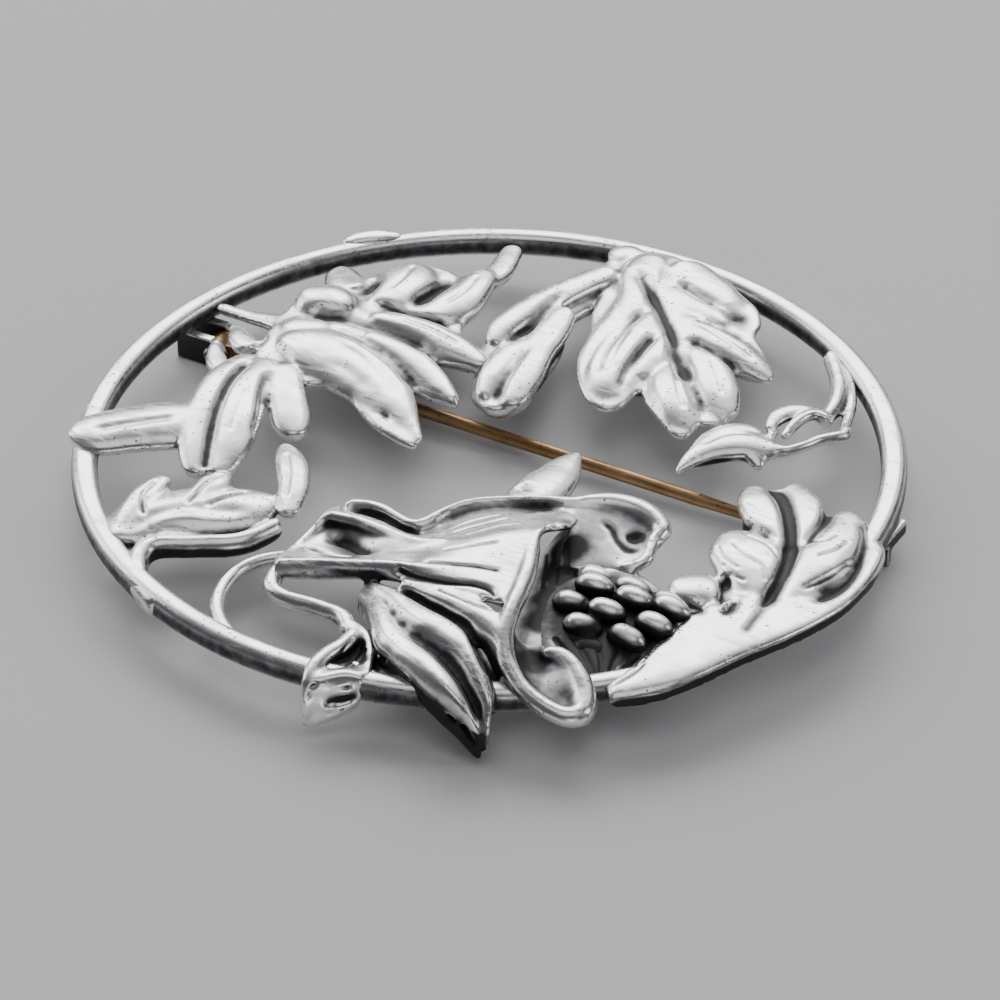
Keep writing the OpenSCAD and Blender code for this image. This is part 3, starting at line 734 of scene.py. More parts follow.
# %% Trumpet flower: sheets
trumpet_flutes = [
    [[-4.4, -10.6, 1.1], [-2, -10.2, 1.3], [0.9, -11, 1.4], [2.6, -8, 1.9], [5.7, -6.2, 2.3],
     [9.4, -5, 2.6]],
    [[-4.5, -11.3, 0.8], [-1.7, -11.1, 0.9], [1.5, -11.7, 1.1], [3.3, -8.8, 1.6], [6, -7, 2],
     [9.5, -5.9, 2.3]],
    [[-4.6, -11.9, 1.2], [-1.4, -11.9, 1.4], [1.9, -12.6, 1.7], [4.1, -11, 2.1], [6.7, -9, 2.6],
     [10, -7.6, 2.9]],
    [[-4.7, -12.7, 1.5], [-1.1, -12.9, 1.8], [2.1, -13.7, 2.2], [5.1, -13, 2.8], [7.7, -11.4, 3.4],
     [10.1, -10.5, 3.8]],
    [[-4.9, -13.5, 0.7], [-1.7, -13.9, 0.8], [1.7, -15, 1.8], [5.1, -14.6, 2.9], [8.1, -13.2, 3.4],
     [10.8, -12.8, 3.7]],
    [[-5, -15.8, 0.7], [-2, -15.6, 0.8], [1.4, -15.9, 1.9], [5.3, -15.8, 3], [8.6, -14.9, 3.3],
     [11.4, -14.6, 3.5]],
    [[-4.8, -19.1, 1.4], [-1.3, -17.9, 1.9], [2.2, -17, 2.5], [5.7, -16.8, 3], [9, -16.5, 3.2],
     [11.8, -16.3, 3.4]],
    [[-4.7, -19.8, 0.8], [-1.2, -18.5, 1.1], [2.3, -17.7, 1.9], [5.8, -17.8, 2.6], [9.2, -17.8, 3],
     [12.1, -17.9, 3.2]],
]
fold_flutes = [
    [[3.6, -17, 1.9], [5, -17.3, 2.2], [6.4, -17.4, 2.5], [7.8, -17.7, 2.7], [9.2, -17.9, 2.9],
     [10.6, -18.3, 3], [11.8, -19, 2.9], [13.2, -20.5, 2.6]],
    [[3.9, -18.1, 2.1], [5.1, -18.2, 2.4], [6.6, -18.7, 2.7], [8.2, -19.1, 2.9], [9.8, -19.5, 3],
     [11.2, -19.9, 3], [12.3, -20.6, 2.8], [13.6, -21.8, 2.3]],
    [[3.7, -18.3, 1.7], [4.8, -18.6, 1.7], [6.1, -19.1, 1.8], [7.5, -19.5, 1.9], [9, -19.9, 2.1],
     [10.5, -20.5, 2.1], [11.9, -21.1, 1.5], [13.9, -22.7, 0.6]],
]

# %% [markdown]
# The tongue has the steepest folds of all, with two crests and a deep valley between them. Its table has
# a row for each of them, and a row halfway is worked out, which keeps the crests broad.

# %% Tongue
# Rows of the tongue: the gap above it, its two crests with a valley between, its border, and under it
tongue_rows = np.array([
    [[0.6, -16.4, 0.5], [1.8, -17.6, 1], [3.7, -18.2, 1.4], [5.1, -18.7, 1.5], [6.7, -19.4, 1.7],
     [8.4, -19.8, 1.8], [10.4, -20.5, 1.8], [12.1, -21.7, 1.3], [14.1, -23.4, 0.5], [14.8, -25, -0.4],
     [15.2, -26.2, -1.4]],
    [[0.9, -17.2, 0.9], [2.2, -18.5, 1.6], [4.2, -19.3, 2.2], [5.9, -20.5, 2.55], [7.6, -21.3, 2.85],
     [9.3, -21.7, 2.95], [11.2, -22.5, 2.9], [13.1, -24, 2.5], [14.8, -25.4, 1.6], [15.2, -26.2, 0.4],
     [15.4, -26.7, -0.9]],
    [[1, -17.8, 0.8], [2.4, -19.1, 1.3], [3.9, -20.1, 1.75], [5.5, -21.4, 1.95], [7.3, -22.5, 2.05],
     [9.1, -23.1, 1.95], [10.9, -23.8, 1.7], [12.4, -24.7, 1.4], [13.8, -25.7, 0.8], [14.7, -26.3, 0.1],
     [15.3, -26.7, -1.1]],
    [[1.1, -18.6, 0.8], [2.7, -19.9, 1.4], [4.3, -21.4, 2], [6, -23.1, 2.3], [7.7, -24.2, 2.4],
     [9.5, -25, 2.5], [11.3, -25.8, 2.3], [12.8, -26.4, 1.9], [13.9, -26.8, 1.2], [14.6, -26.9, 0.1],
     [15.2, -26.8, -1.1]],
    [[1.1, -19, 0.5], [2.6, -20.3, 0.9], [4.1, -22.1, 1.3], [5.6, -24, 1.4], [7.2, -24.9, 1.5],
     [9, -25.7, 1.5], [10.7, -26.4, 1.2], [12.3, -26.8, 0.7], [13.5, -26.9, 0.1], [14.2, -26.9, -0.7],
     [15, -26.8, -1.5]],
    [[1, -18.8, 0], [2.4, -20, 0.3], [3.9, -21.7, 0.4], [5.3, -23.3, 0.4], [6.9, -24.1, 0.4],
     [8.6, -24.8, 0.4], [10.3, -25.7, 0.2], [11.9, -26.2, -0.4], [13.1, -26.4, -0.9], [14, -26.5, -1.4],
     [14.8, -26.5, -1.9]],
])
# Strands inside its steep walls, where a sheet that is moved straight down has no thickness
tongue_walls = [
    [[9.2, -24.9, 1.1, 0.6], [10.6, -25.7, 0.9, 0.6], [12, -26.2, 0.5, 0.6], [13.1, -26.4, -0.1, 0.5],
     [14, -26.6, -0.8, 0.45], [14.7, -26.6, -1.4, 0.3]],
    [[10.2, -20.1, 1, 0.8], [11.8, -21.4, 0.7, 0.9], [13, -22.8, 0.3, 0.8], [13.9, -24, -0.2, 0.6]],
]
tongue_band = [[4.4, -24.9, 0.5, 0.3], [5.8, -25.4, 0.6, 0.45], [7.5, -25.8, 0.7, 0.5],
               [8.8, -25.7, 0.8, 0.4]]

# %% [markdown]
# The lip curls round like a ribbon, and behind it the hood and the back petal close the flower. Its
# throat ends in a domed plate with painted shade on it, because the real one is too deep to see into.

# %% Lip, hood and back petal
lip_flutes = [
    [[14.6, -18.6, 1.5], [16.4, -19.2, 1.8], [17.9, -20.2, 1.6], [19.1, -21.3, 1.3], [19.9, -22.3, 1]],
    [[13.8, -18.8, 1.2], [15.4, -20, 1.05], [16.9, -21.2, 1.05], [18.3, -22, 0.9], [19.5, -22.5, 0.9]],
    [[13.2, -19, 1.6], [14.6, -20.6, 1.1], [16.3, -22, 1], [17.9, -22.6, 0.85], [19.3, -22.7, 0.8]],
    [[12.4, -19, 2.8], [13.6, -21, 2.2], [15.2, -22.7, 1.5], [17.6, -23.4, 1], [19.3, -23, 0.9]],
]
hood_flutes = [
    [[7.2, -7.7, 2.4], [8.6, -7, 2.6], [9.9, -6.6, 2.8], [10.9, -7.1, 2.8]],
    [[8, -9.1, 3], [9.2, -8.8, 3.15], [10.2, -8.3, 3.15], [11, -7.8, 3]],
    [[8.9, -10.3, 3.4], [9.8, -10.1, 3.45], [10.5, -9.4, 3.35], [11.1, -8.3, 3.05]],
]
back_flutes = [
    [[9.4, -4.8, 2.5], [11.2, -3, 2.6], [13.6, -2.8, 2.5], [15.6, -4, 2.2], [16.2, -5.6, 2]],
    [[9.8, -6.2, 2.3], [11.4, -5.2, 2.15], [13.2, -5.2, 1.9], [14.6, -5.8, 1.7], [15.6, -6.6, 1.9]],
    [[10.4, -8.4, 1.8], [12, -8, 1.6], [13.4, -8, 1.5], [14.8, -8, 1.5], [16, -7.8, 1.7]],
    [[11.2, -10.6, 1.4], [12.4, -10, 1.2], [13.6, -9.6, 1], [14.8, -9.2, 1.1], [15.8, -8.9, 1.3]],
]
throat_rows = [[10.4, -5.6, 1.5, 1.4], [11, -10, 1.1, 1.8], [11.9, -14.4, 0.9, 1.7],
               [13.4, -18.8, 0.7, 1.3]]
sepal_rows = [[5.8, -6, 1.6, 1.9], [5.8, -3, 1.6, 1.9], [5.6, -0.4, 1.2, 1.5], [5.5, 1.4, 0.9, 0.8],
              [5.5, 2.5, 0.7, 0.2]]

# %% Rims and creases of the flower
# Rounded rims and ridges: x, y, top height, half width
trumpet_rims = [
    [[-4.5, -11.2, 1.1, 0.35], [-4, -10.6, 1.3, 0.45], [-2.2, -10.4, 1.45, 0.5], [0.2, -11.1, 1.55, 0.5],
     [1.2, -10.8, 1.65, 0.5], [2, -9.3, 1.9, 0.5], [3, -7.9, 2.1, 0.5], [4.6, -6.9, 2.3, 0.5],
     [7, -5.9, 2.6, 0.45], [9.2, -5.1, 2.7, 0.5], [10.3, -4.3, 2.8, 0.65], [11.7, -3.6, 2.85, 0.9],
     [13.4, -3.4, 2.75, 1], [14.9, -3.9, 2.55, 0.85], [15.6, -4.6, 2.4, 0.6], [15.5, -5.5, 2.2, 0.45],
     [15.8, -6.5, 2.05, 0.4], [16, -7.4, 1.9, 0.4], [15.5, -8.2, 1.7, 0.4], [14.6, -8.6, 1.5, 0.3]],
    [[-4.7, -13, 1.6, 0.4], [-2.4, -12.8, 1.8, 0.45], [0, -13.2, 2.05, 0.5], [2.4, -13.7, 2.4, 0.5],
     [4.4, -13.4, 2.8, 0.3]],
    [[-4.8, -19.2, 1.5, 0.35], [-2.6, -18.3, 1.8, 0.4], [0, -17.7, 2.25, 0.45], [2.4, -17.1, 2.65, 0.5],
     [4.6, -16.8, 2.95, 0.4], [6.4, -16.7, 3.1, 0.2]],
    [[-4.6, -11.4, 1.2, 0.3], [-4.75, -12.8, 1.5, 0.35], [-5, -14.2, 0.95, 0.35], [-5.05, -15.8, 0.9, 0.35],
     [-4.95, -17.6, 1.15, 0.35], [-4.8, -19.2, 1.4, 0.35]],
]
lip_rims = [
    [[8.2, -10.9, 3.5, 0.2], [9.2, -10.8, 3.7, 0.35], [9.9, -11.6, 3.8, 0.5], [10.6, -13, 3.82, 0.55],
     [11.3, -14.8, 3.78, 0.6], [11.8, -16.6, 3.65, 0.6], [12.2, -18.4, 3.45, 0.6], [12.7, -20, 3.05, 0.6],
     [13.5, -21.3, 2.55, 0.6], [14.6, -22.3, 2.05, 0.6], [16.1, -23.1, 1.6, 0.6], [17.8, -23.5, 1.3, 0.6],
     [19.1, -23.4, 1.15, 0.65], [19.7, -22.6, 1.2, 0.75], [19.3, -21.5, 1.4, 0.8], [18.4, -20.4, 1.7, 0.8],
     [17.2, -19.5, 1.95, 0.75], [16, -19.1, 2, 0.6], [15, -19.4, 1.75, 0.45]],
]
# Creases that the wax tool left: width, depth, then places
trumpet_creases = [
    (0.5, 0.22, [[2, -10.3], [2.7, -8.9], [3.8, -7.8], [5.4, -7], [7.4, -6.4], [9, -6]]),
    (0.35, 0.35, [[-4, -11.5], [-2, -11.3], [0.4, -11.9], [1.6, -11.6]]),
    (0.25, 0.25, [[-4.4, -16.1], [-3.2, -16.2], [-1.8, -16.4], [-0.4, -16.4]]),
    (0.5, 0.4, [[-4.2, -14.2], [-2.4, -14.3], [-0.8, -14.9], [0.4, -15.3]]),
    (0.16, 0.12, [[4.6, -16.3], [6.4, -16], [8.2, -15.5], [9.8, -15.3]]),
    (0.2, 0.26, [[3, -17.4], [5, -17.6], [7, -17.5], [8.8, -17.1], [10, -17.2], [10.7, -17.8]]),
    (0.3, 0.2, [[9.6, -17.9], [10.6, -18.1], [11.4, -18.6]]),
    (0.12, 0.08, [[5, -14.6], [6.6, -13.6], [8.2, -12.6]]),
    (0.12, 0.08, [[4, -12], [5.2, -10.4], [6.8, -9]]),
    (0.12, 0.06, [[3.4, -11.6], [4.4, -9.8], [6, -8.4]]),
    (0.1, 0.06, [[5.2, -12.4], [6.8, -10.8], [8.4, -9.9]]),
    (0.13, 0.14, [[6.6, -18.2], [8.4, -18.6], [10, -18.9], [11.2, -18.8]]),
    (0.3, 0.25, [[4.2, -18.6], [5.6, -19.1], [7.2, -19.6], [9, -20.1], [10.6, -20.8], [12, -22.2],
                 [13.8, -23.8]]),
]


# %% Trumpet flower
def shoulder(crest, floor, part=0.5, drop=0.16):
    """A row part of the way across from a crest to a valley floor, and only drop of the way down."""
    return crest + (floor - crest) * [part, part, drop]


gap, upper_crest, valley, lower_crest, border, under = tongue_rows
tongue_flutes = [gap, shoulder(upper_crest, gap), upper_crest, shoulder(upper_crest, valley), valley,
                 shoulder(lower_crest, valley), lower_crest, shoulder(lower_crest, border), border, under]
trumpet_parts = [fluted(trumpet_flutes), fluted(fold_flutes), fluted(tongue_flutes, steps=6)]
trumpet_parts += [petal(tongue_band), petal(sepal_rows)]
trumpet_parts += [strand(r) for r in trumpet_rims + tongue_walls]
throat_creases = [
    (0.6, 0.5, [[5.2, -5], [5.1, -4.2], [5.2, -3.4]]),
    (0.4, 0.4, [[13.7, -6.2], [14.3, -5.8], [14.9, -5.6]]),
    (0.25, 0.12, [[11.6, -5.6], [12.6, -5.9], [13.4, -6.6], [14.4, -7.1], [15.2, -6.8]]),
    (0.12, 0.07, [[9.6, -9.2], [10.4, -10.7], [11.4, -13]]),
    (0.12, 0.07, [[10.1, -8.9], [11, -10.4], [11.9, -12.1]]),
    (0.12, 0.07, [[10.6, -8.5], [11.3, -9.5], [12.1, -10.9]]),
]
# Places painted dark: x, y, top height, radius, amount. Painted shade in the throat, in the back
# petal's pocket, inside and beside the lip, under the fan's rim and on the tongue's lower wall; patina
# and painted shade along the tongue's valley
trumpet_dark = [
    (10.8, -8.7, 3, 1.3, 0.75), (11.5, -11, 3.1, 1.3, 0.75), (12.2, -13.5, 3, 1.3, 0.75),
    (12.9, -16, 2.6, 1.3, 0.7), (13.7, -18.4, 1.6, 1, 0.5), (12.8, -6.6, 2.3, 2.2, 0.2),
    (14.4, -6.4, 2, 1.6, 0.14), (14.3, -5.8, 1.8, 0.6, 0.3), (16.6, -21.3, 1.4, 1.6, 0.2),
    (14.7, -20.2, 1.5, 1.1, 0.26), (18.2, -21.9, 1.1, 1, 0.14), (5.6, -18.9, 1.9, 0.6, 0.4),
    (7.6, -19.5, 2.1, 0.6, 0.35), (9.6, -20.1, 2.2, 0.7, 0.4), (11.8, -21.2, 1.7, 0.9, 0.5),
    (13.2, -22.4, 1.3, 1.2, 0.7), (14.6, -24, 0.8, 1.2, 0.6), (4, -20.2, 1.9, 0.4, 0.15),
    (5.2, -21.1, 2.1, 0.4, 0.15), (6.4, -21.9, 2.1, 0.45, 0.2), (7.8, -22.7, 2.1, 0.5, 0.28),
    (9.2, -23.2, 1.9, 0.65, 0.35), (10.6, -23.7, 1.9, 0.65, 0.4), (11.8, -24.3, 1.7, 0.6, 0.4),
    (13, -25.1, 1.3, 0.6, 0.4), (6.6, -24.2, 0.9, 1.4, 0.5), (8.6, -25, 0.9, 1.3, 0.5),
    (10.6, -26.2, 0.5, 1.3, 0.8), (12.4, -26.7, 0, 1.3, 1), (14, -26.9, -0.5, 1.3, 1),
    (14, -25.8, 1.2, 0.5, 0.4), (2.6, -18, 1.3, 1, 0.4),
]
# The upper crest of the tongue is worn bright, so its amount is negative
trumpet_dark += dark_line(0.5, -0.22, upper_crest[5:10, :2], 4)
trumpet_parts += [strand(r) for r in lip_rims] + [fluted(lip_flutes), fluted(back_flutes)]
trumpet_parts += [fluted(hood_flutes, thick=0.5), petal(throat_rows)]
cast("trumpet_flower", trumpet_parts, voxel=0.126, lines=trumpet_creases + throat_creases,
     dark=trumpet_dark, seed=2)

# %% [markdown]
# The seed head is a bed of long glossy seeds in rows, cupped between the back petal and the long leaf.

# %% Seed head
seed_bed = [[14.6, -8.4, 1.2, 2.6], [15.6, -11.5, 1.3, 4.6], [16.6, -15, 1.1, 4.4], [18.4, -18.4, 0.7, 2],
            [19.3, -19.8, 0.5, 0.8]]
SEED_LEN = 1.4
SEED_W = 0.88
SEED_LIFT = 0.2
SEED_TAPER = 0.1
# How high a seed's top is above its centre, and how domed it is, in parts of its half width
SEED_RISE, SEED_DOME = 0.9, 0.8
# Seeds: x, y, centre height, turn in degrees
seeds = [
    (13.7, -10, 0.6, 2), (16.5, -10.1, 0.75, -6), (19, -9.9, 0.4, -8),
    (14.5, -11.6, 1.3, 2), (17.4, -11.6, 1.3, -2), (19.8, -11.1, 1.1, -5),
    (14, -13.6, 1, 3), (16.5, -13.6, 1.3, 0), (19.7, -13.2, 1.1, -4),
    (15.7, -15.3, 0.9, 2), (18.7, -15, 0.9, -6),
    (16.9, -16.3, 0.1, 0),
]


def seed_solid(x, y, h, turn, rings=24, sides=24):
    """A long bead: half width w (1 - |t|^2.6)^0.6 (1 - t / 10) at the part t of its half length."""
    t = np.sin(np.linspace(-np.pi / 2, np.pi / 2, rings))
    half = SEED_W * np.maximum(1 - np.abs(t) ** 2.6, 0) ** 0.6 * (1 - SEED_TAPER * t) + 0.01
    along_x, along_y = math.cos(math.radians(turn)), math.sin(math.radians(turn))
    top = h + SEED_LIFT + SEED_RISE * half
    path = np.column_stack([x + SEED_LEN * t * along_x, y + SEED_LEN * t * along_y, top])
    return section_solid(path, half, SEED_DOME * half, half, sides)


bed_lines = [(0.16, 0.16, rows) for rows in (
    [[14.4, -16.8], [16.2, -18], [18.6, -19.3]], [[15.4, -16.2], [17.2, -17.6], [18.9, -19.2]],
    [[17, -16], [18.2, -17.4], [19.2, -19.2]], [[18.6, -15.6], [19, -17.2], [19.5, -19]],
    [[19.9, -15.4], [19.8, -17.2], [19.7, -18.8]])]
# Patina and painted shade in the bed between the seeds
bed_dark = [(15.6, -12.5, 3, 5, 0.6), (18.2, -16, 3, 3.4, 0.5), (17.4, -18.6, 3, 2, 0.4)]
cast("seed_bed", [petal(seed_bed, dome=0.2)], voxel=0.12, lines=bed_lines, dark=bed_dark, seed=3)
# Painted shade: the seeds are darkened below their crests
seeds_painted_shade = [
    (14.2, -12.6, 1.7, 2.6, 0.6), (17.6, -12.8, 1.8, 2.8, 0.6), (20.2, -12.6, 1.5, 2, 0.5),
    (17.6, -15.8, 1.4, 2, 0.5), (16.9, -16.3, 2, 1.2, 0.4), (16, -10, 1.1, 3, 0.4),
]
cast("seeds", [seed_solid(*row) for row in seeds], voxel=0.09, rounds=3, dark=seeds_painted_shade, seed=4,
     uneven=0.03)

# %% [markdown]
# The long leaf at the right rolls over the ring. Its lobes lie on a fluted body, its midrib
# is a deep channel, and fine veins cross the lobes.

# %% Side leaf
side_leaf = [
    [[18.8, 4.8, 1, 1.1], [20.8, 2.6, 1.15, 2.4], [22.4, -0.8, 1.3, 3.6], [23.8, -5, 1.3, 3.4],
     [24.4, -9, 1.25, 2.6], [23.6, -13, 1.2, 1.6]],
    [[24.4, 5, 0.6, 1.2], [25.5, 1.5, 0.9, 2], [26.2, -3, 1.1, 2], [26, -7, 1.1, 1.8]],
    [[24.2, -6.8, 1.4, 1.2], [22.7, -4.4, 1.8, 2.6], [20.5, -2.7, 1.75, 2.5], [18.7, -1.4, 1.3, 1.6]],
    [[22.8, -1.8, 1.5, 1], [20.9, 0.6, 1.75, 1.6], [19, 2.6, 1.6, 1.6], [17.5, 4.2, 1.1, 0.9]],
    [[24.4, -1.4, 1.5, 0.8], [23.2, 1.4, 1.7, 1], [21.8, 3.8, 1.6, 1.1], [19.6, 5.8, 1.1, 0.8]],
    [[25.6, -6.2, 1.4, 1], [25.7, -2.2, 1.85, 1.9], [25.2, 1.6, 1.6, 2], [24.5, 4.9, 1.1, 1.3]],
]
body_flutes = [
    [[19.7, -19.6, 0.7], [20.4, -16.2, 1.1], [20.6, -12.6, 1.2], [21.9, -8.8, 1.3], [25.2, -5.2, 1.3],
     [26.8, -1.8, 1], [26.8, 0.8, 0.8], [26.2, 2.8, 0.5]],
    [[20.2, -20.2, 0.9], [22.2, -17, 1.35], [23.5, -12.8, 1.45], [25.1, -9, 1.45], [27, -5.2, 1.3],
     [27.8, -1.6, 1.2], [27.5, 1.5, 1], [26.8, 3.4, 0.7]],
    [[20.5, -20.6, 0.7], [23.3, -18, 1.2], [25.6, -13.2, 1.3], [27.4, -9.5, 1.3], [28.7, -5.4, 1.2],
     [29, -1.6, 1.1], [28.3, 2, 0.9], [27, 3.8, 0.5]],
    [[20.6, -20.8, 0.4], [23.6, -18.2, 0.9], [25.9, -13.3, 1], [27.7, -9.5, 1], [29, -5.4, 1],
     [29.2, -1.6, 0.9], [28.5, 2, 0.7], [27.1, 3.9, 0.3]],
]
lobe_valley = [[23.2, 4.6], [23.9, 2.4], [24, 0.4], [24.2, -1.2]]
edge_valley = [[26, -5.3], [26.7, -3.9], [27.2, -2.6], [27.5, -0.6]]
side_lines = [
    (0.5, 0.34, [[18.4, 4.9], [20.2, 3.3], [21.8, 1.2], [23.1, -1], [24, -3.4], [24.5, -6], [24.7, -8]]),
    (0.4, 0.16, [[24.2, -5], [24.6, -7.4], [24.9, -9.6], [25, -11.6]]),
    (0.35, 0.22, [[17.9, -0.7], [19.1, -0.4], [20.4, -0.7], [22.2, -1.4]]),
    (0.4, 0.2, lobe_valley),
    (0.35, 0.2, [[25.9, 4], [27.1, 1.9], [28, -1], [28.1, -3.6], [27.2, -5.9]]),
    (0.7, 0.22, [[26.4, -6], [27.2, -4.4], [27.7, -2.4]]),
    (0.11, 0.08, [[19, -3.5], [20.2, -4.7], [21.7, -5.4]]),
    (0.12, 0.09, [[19.7, -2.9], [21.2, -3.9], [22.8, -4.5], [23.7, -5.7]]),
    (0.11, 0.07, [[20.2, -1.7], [21.9, -2.1], [23.4, -3.1]]),
    (0.11, 0.08, [[20.3, -5.1], [21.4, -5.9], [22.6, -6.2]]),
    (0.11, 0.06, [[18.3, 1.9], [20.1, 1], [21.1, 0]]),
    (0.11, 0.08, [[24.1, -0.2], [25, 0.2], [25.3, 1.4]]),
    (0.11, 0.09, [[25.3, -1.9], [26.1, -0.5], [26.3, 1]]),
    (0.24, 0.14, edge_valley),
    (0.3, 0.3, [[20.9, -5.8], [21.5, -7], [22, -8.2], [22.3, -9.4], [22.9, -9.7], [23.1, -9],
                [22.6, -7.6]]),
    (0.35, 0.26, [[18.5, -9.8], [20.5, -10], [22, -10.4]]),
    (0.35, 0.3, [[20.4, -10.8], [20.6, -12.8], [20.4, -15], [20.3, -17.6]]),
    (0.14, 0.12, [[20.9, -16.6], [20.8, -18.2], [20.1, -19.6]]),
]
# Painted shade: the leaf's low outer walls over the ring are darkened, and three places grey its lobes;
# patina and painted shade lie along the midrib and the valleys
side_dark = [
    (27.3, -3.6, 1.4, 1.3, 0.18), (22.6, 5.6, 1.9, 1.8, 0.14), (25.8, 4.2, 1.7, 1.8, 0.14),
    (29.6, -3, 0.8, 2.6, 0.6), (28.8, -8, 0.8, 2.6, 0.6), (27, -12.6, 0.8, 2.6, 0.6),
    (24.8, -16.8, 0.75, 2.6, 0.6), (22, -20.2, 0.5, 2.2, 0.6),
]
side_dark += dark_line(0.7, 0.33, [[18.4, 4.9], [20.2, 3.3], [21.8, 1.2], [23.1, -1], [24, -3.4],
                                   [24.5, -5.8]], 1.5)
side_dark += dark_line(0.6, 0.17, [[24.4, -6], [24.7, -8], [24.9, -9.6], [25, -11]], 1.5)
side_dark += dark_line(0.3, 0.2, lobe_valley, 1.9) + dark_line(0.3, 0.08, edge_valley, 1.9)
side_parts = [petal(r, dome=0.32) for r in side_leaf] + [fluted(body_flutes)]
side_parts += [boss(20.1, -8.1, 1.6, 2.1), boss(22.5, -9.3, 1.75, 0.7)]
cast("side_leaf", side_parts, rounds=11, lines=side_lines, dark=side_dark, seed=5)

# %% [markdown]
# The many-petalled flower at the left is seen from its side. Its stalk crosses the ring and is cut off.

# %% Many-petalled flower
# Blade under all the upper petals: x, y, top height
flower_blade = [
    [-19.4, 1.8, 1.5], [-17.4, -1.6, 1.3], [-15, -0.8, 1.3], [-12, 0.2, 1.3], [-9, -1.5, 1.1], [-7, -2.4, 1],
    [-4.2, -2.6, 0.8], [-5.6, -0.2, 1], [-7, 1.8, 1], [-7.6, 3, 0.9], [-6.2, 2.9, 0.8], [-4.3, 3.1, 0.8],
    [-5.3, 4.6, 0.9], [-7.2, 6, 0.9], [-8.2, 6.8, 0.8], [-6.8, 7.2, 0.9], [-4.8, 7.7, 0.8], [-5.4, 9.4, 0.9],
    [-7.8, 10.3, 1], [-8.9, 12, 0.9], [-8.8, 14, 0.9], [-9.4, 16.8, 0.9], [-10.3, 18.5, 0.8],
    [-11.7, 18.6, 0.8], [-12.4, 17.4, 0.7], [-13.4, 17.6, 0.8], [-15.8, 17.2, 0.8], [-17.3, 15.2, 0.8],
    [-18.2, 13.2, 0.8], [-18.8, 11.2, 1], [-20.4, 9, 1.2], [-20.2, 6.4, 1.3], [-19.8, 4, 1.4],
]
flower_petals = [
    [[-18.2, 2.6, 1.9, 1.6], [-16.4, 3.2, 2.2, 2.6], [-13.6, 3.2, 2.2, 3], [-10.6, 2.2, 2, 2.6],
     [-7.8, 0.6, 1.6, 1.7], [-5.9, -0.6, 1.2, 0.8], [-4.2, -1.9, 0.9, 0.25]],
    [[-13.4, 6.2, 1.9, 0.9], [-10.4, 6, 1.8, 1.1], [-7.4, 4.8, 1.5, 1.1], [-4.6, 3.3, 1.1, 0.4]],
    [[-14.4, 8.6, 1.8, 1.1], [-11, 8.9, 1.9, 1.4], [-7.6, 8.6, 1.6, 1.3], [-4.9, 8, 1.2, 0.5]],
    [[-15, 9.6, 1.5, 1.2], [-14.6, 12, 1.8, 1.7], [-15, 14.6, 1.7, 2.2], [-15.2, 16.8, 1.3, 1.4]],
    [[-11.8, 10.4, 1.4, 1.4], [-10.6, 13, 1.7, 1.8], [-10.4, 15.8, 1.7, 1.3], [-10.9, 18.2, 1.4, 0.9]],
    [[-18.9, 0.6, 1.6, 1], [-19, -3, 2.1, 1.3], [-18, -7, 2, 1.4], [-16.4, -10.4, 1.5, 1.4],
     [-15, -12.8, 1, 0.7]],
    [[-17.6, 0.4, 1.8, 1], [-17, -3, 2.2, 1.4], [-15.8, -6.5, 2.1, 1.7], [-14.6, -9.5, 1.7, 1.5],
     [-13.8, -12.3, 1.1, 0.8]],
    [[-16.4, 0.4, 1.8, 1.1], [-14.7, -2, 1.8, 1.3], [-13, -4.2, 1.5, 1.4], [-11.6, -5.8, 1.1, 0.9]],
    [[-19, 5.4, 1.5, 1.1], [-21, 5.7, 1.1, 0.8], [-23, 5.9, 0.7, 0.6], [-25.6, 6.2, 0.4, 0.5]],
    [[-19.6, 1.2, 1.6, 0.9], [-21.2, 2.4, 1.4, 0.9], [-22.4, 3.9, 1, 0.4]],
    [[-19.4, -2, 1.2, 0.6], [-21.3, -0.4, 1, 0.8], [-22.8, 1.6, 0.8, 0.4]],
    [[-17.6, 11.8, 1.3, 1.5], [-19.2, 13, 0.9, 1.5], [-20.8, 14.8, 0.4, 1]],
    [[-10.6, 16, 1.2, 0.8], [-10.3, 19, 1.1, 1], [-11.4, 23.2, 0.6, 0.8]],
    [[-21.9, 16.9, 0.9, 0.5], [-20.9, 18, 1.2, 0.8], [-19.8, 18.9, 1.2, 0.8], [-18.5, 19.9, 0.9, 0.5]],
    [[-18.2, -7.4, 1.7, 2.8], [-21.2, -10.2, 1.8, 2.5], [-23.6, -12.4, 1.6, 2.2], [-24.8, -13.5, 1.3, 1.5]],
]
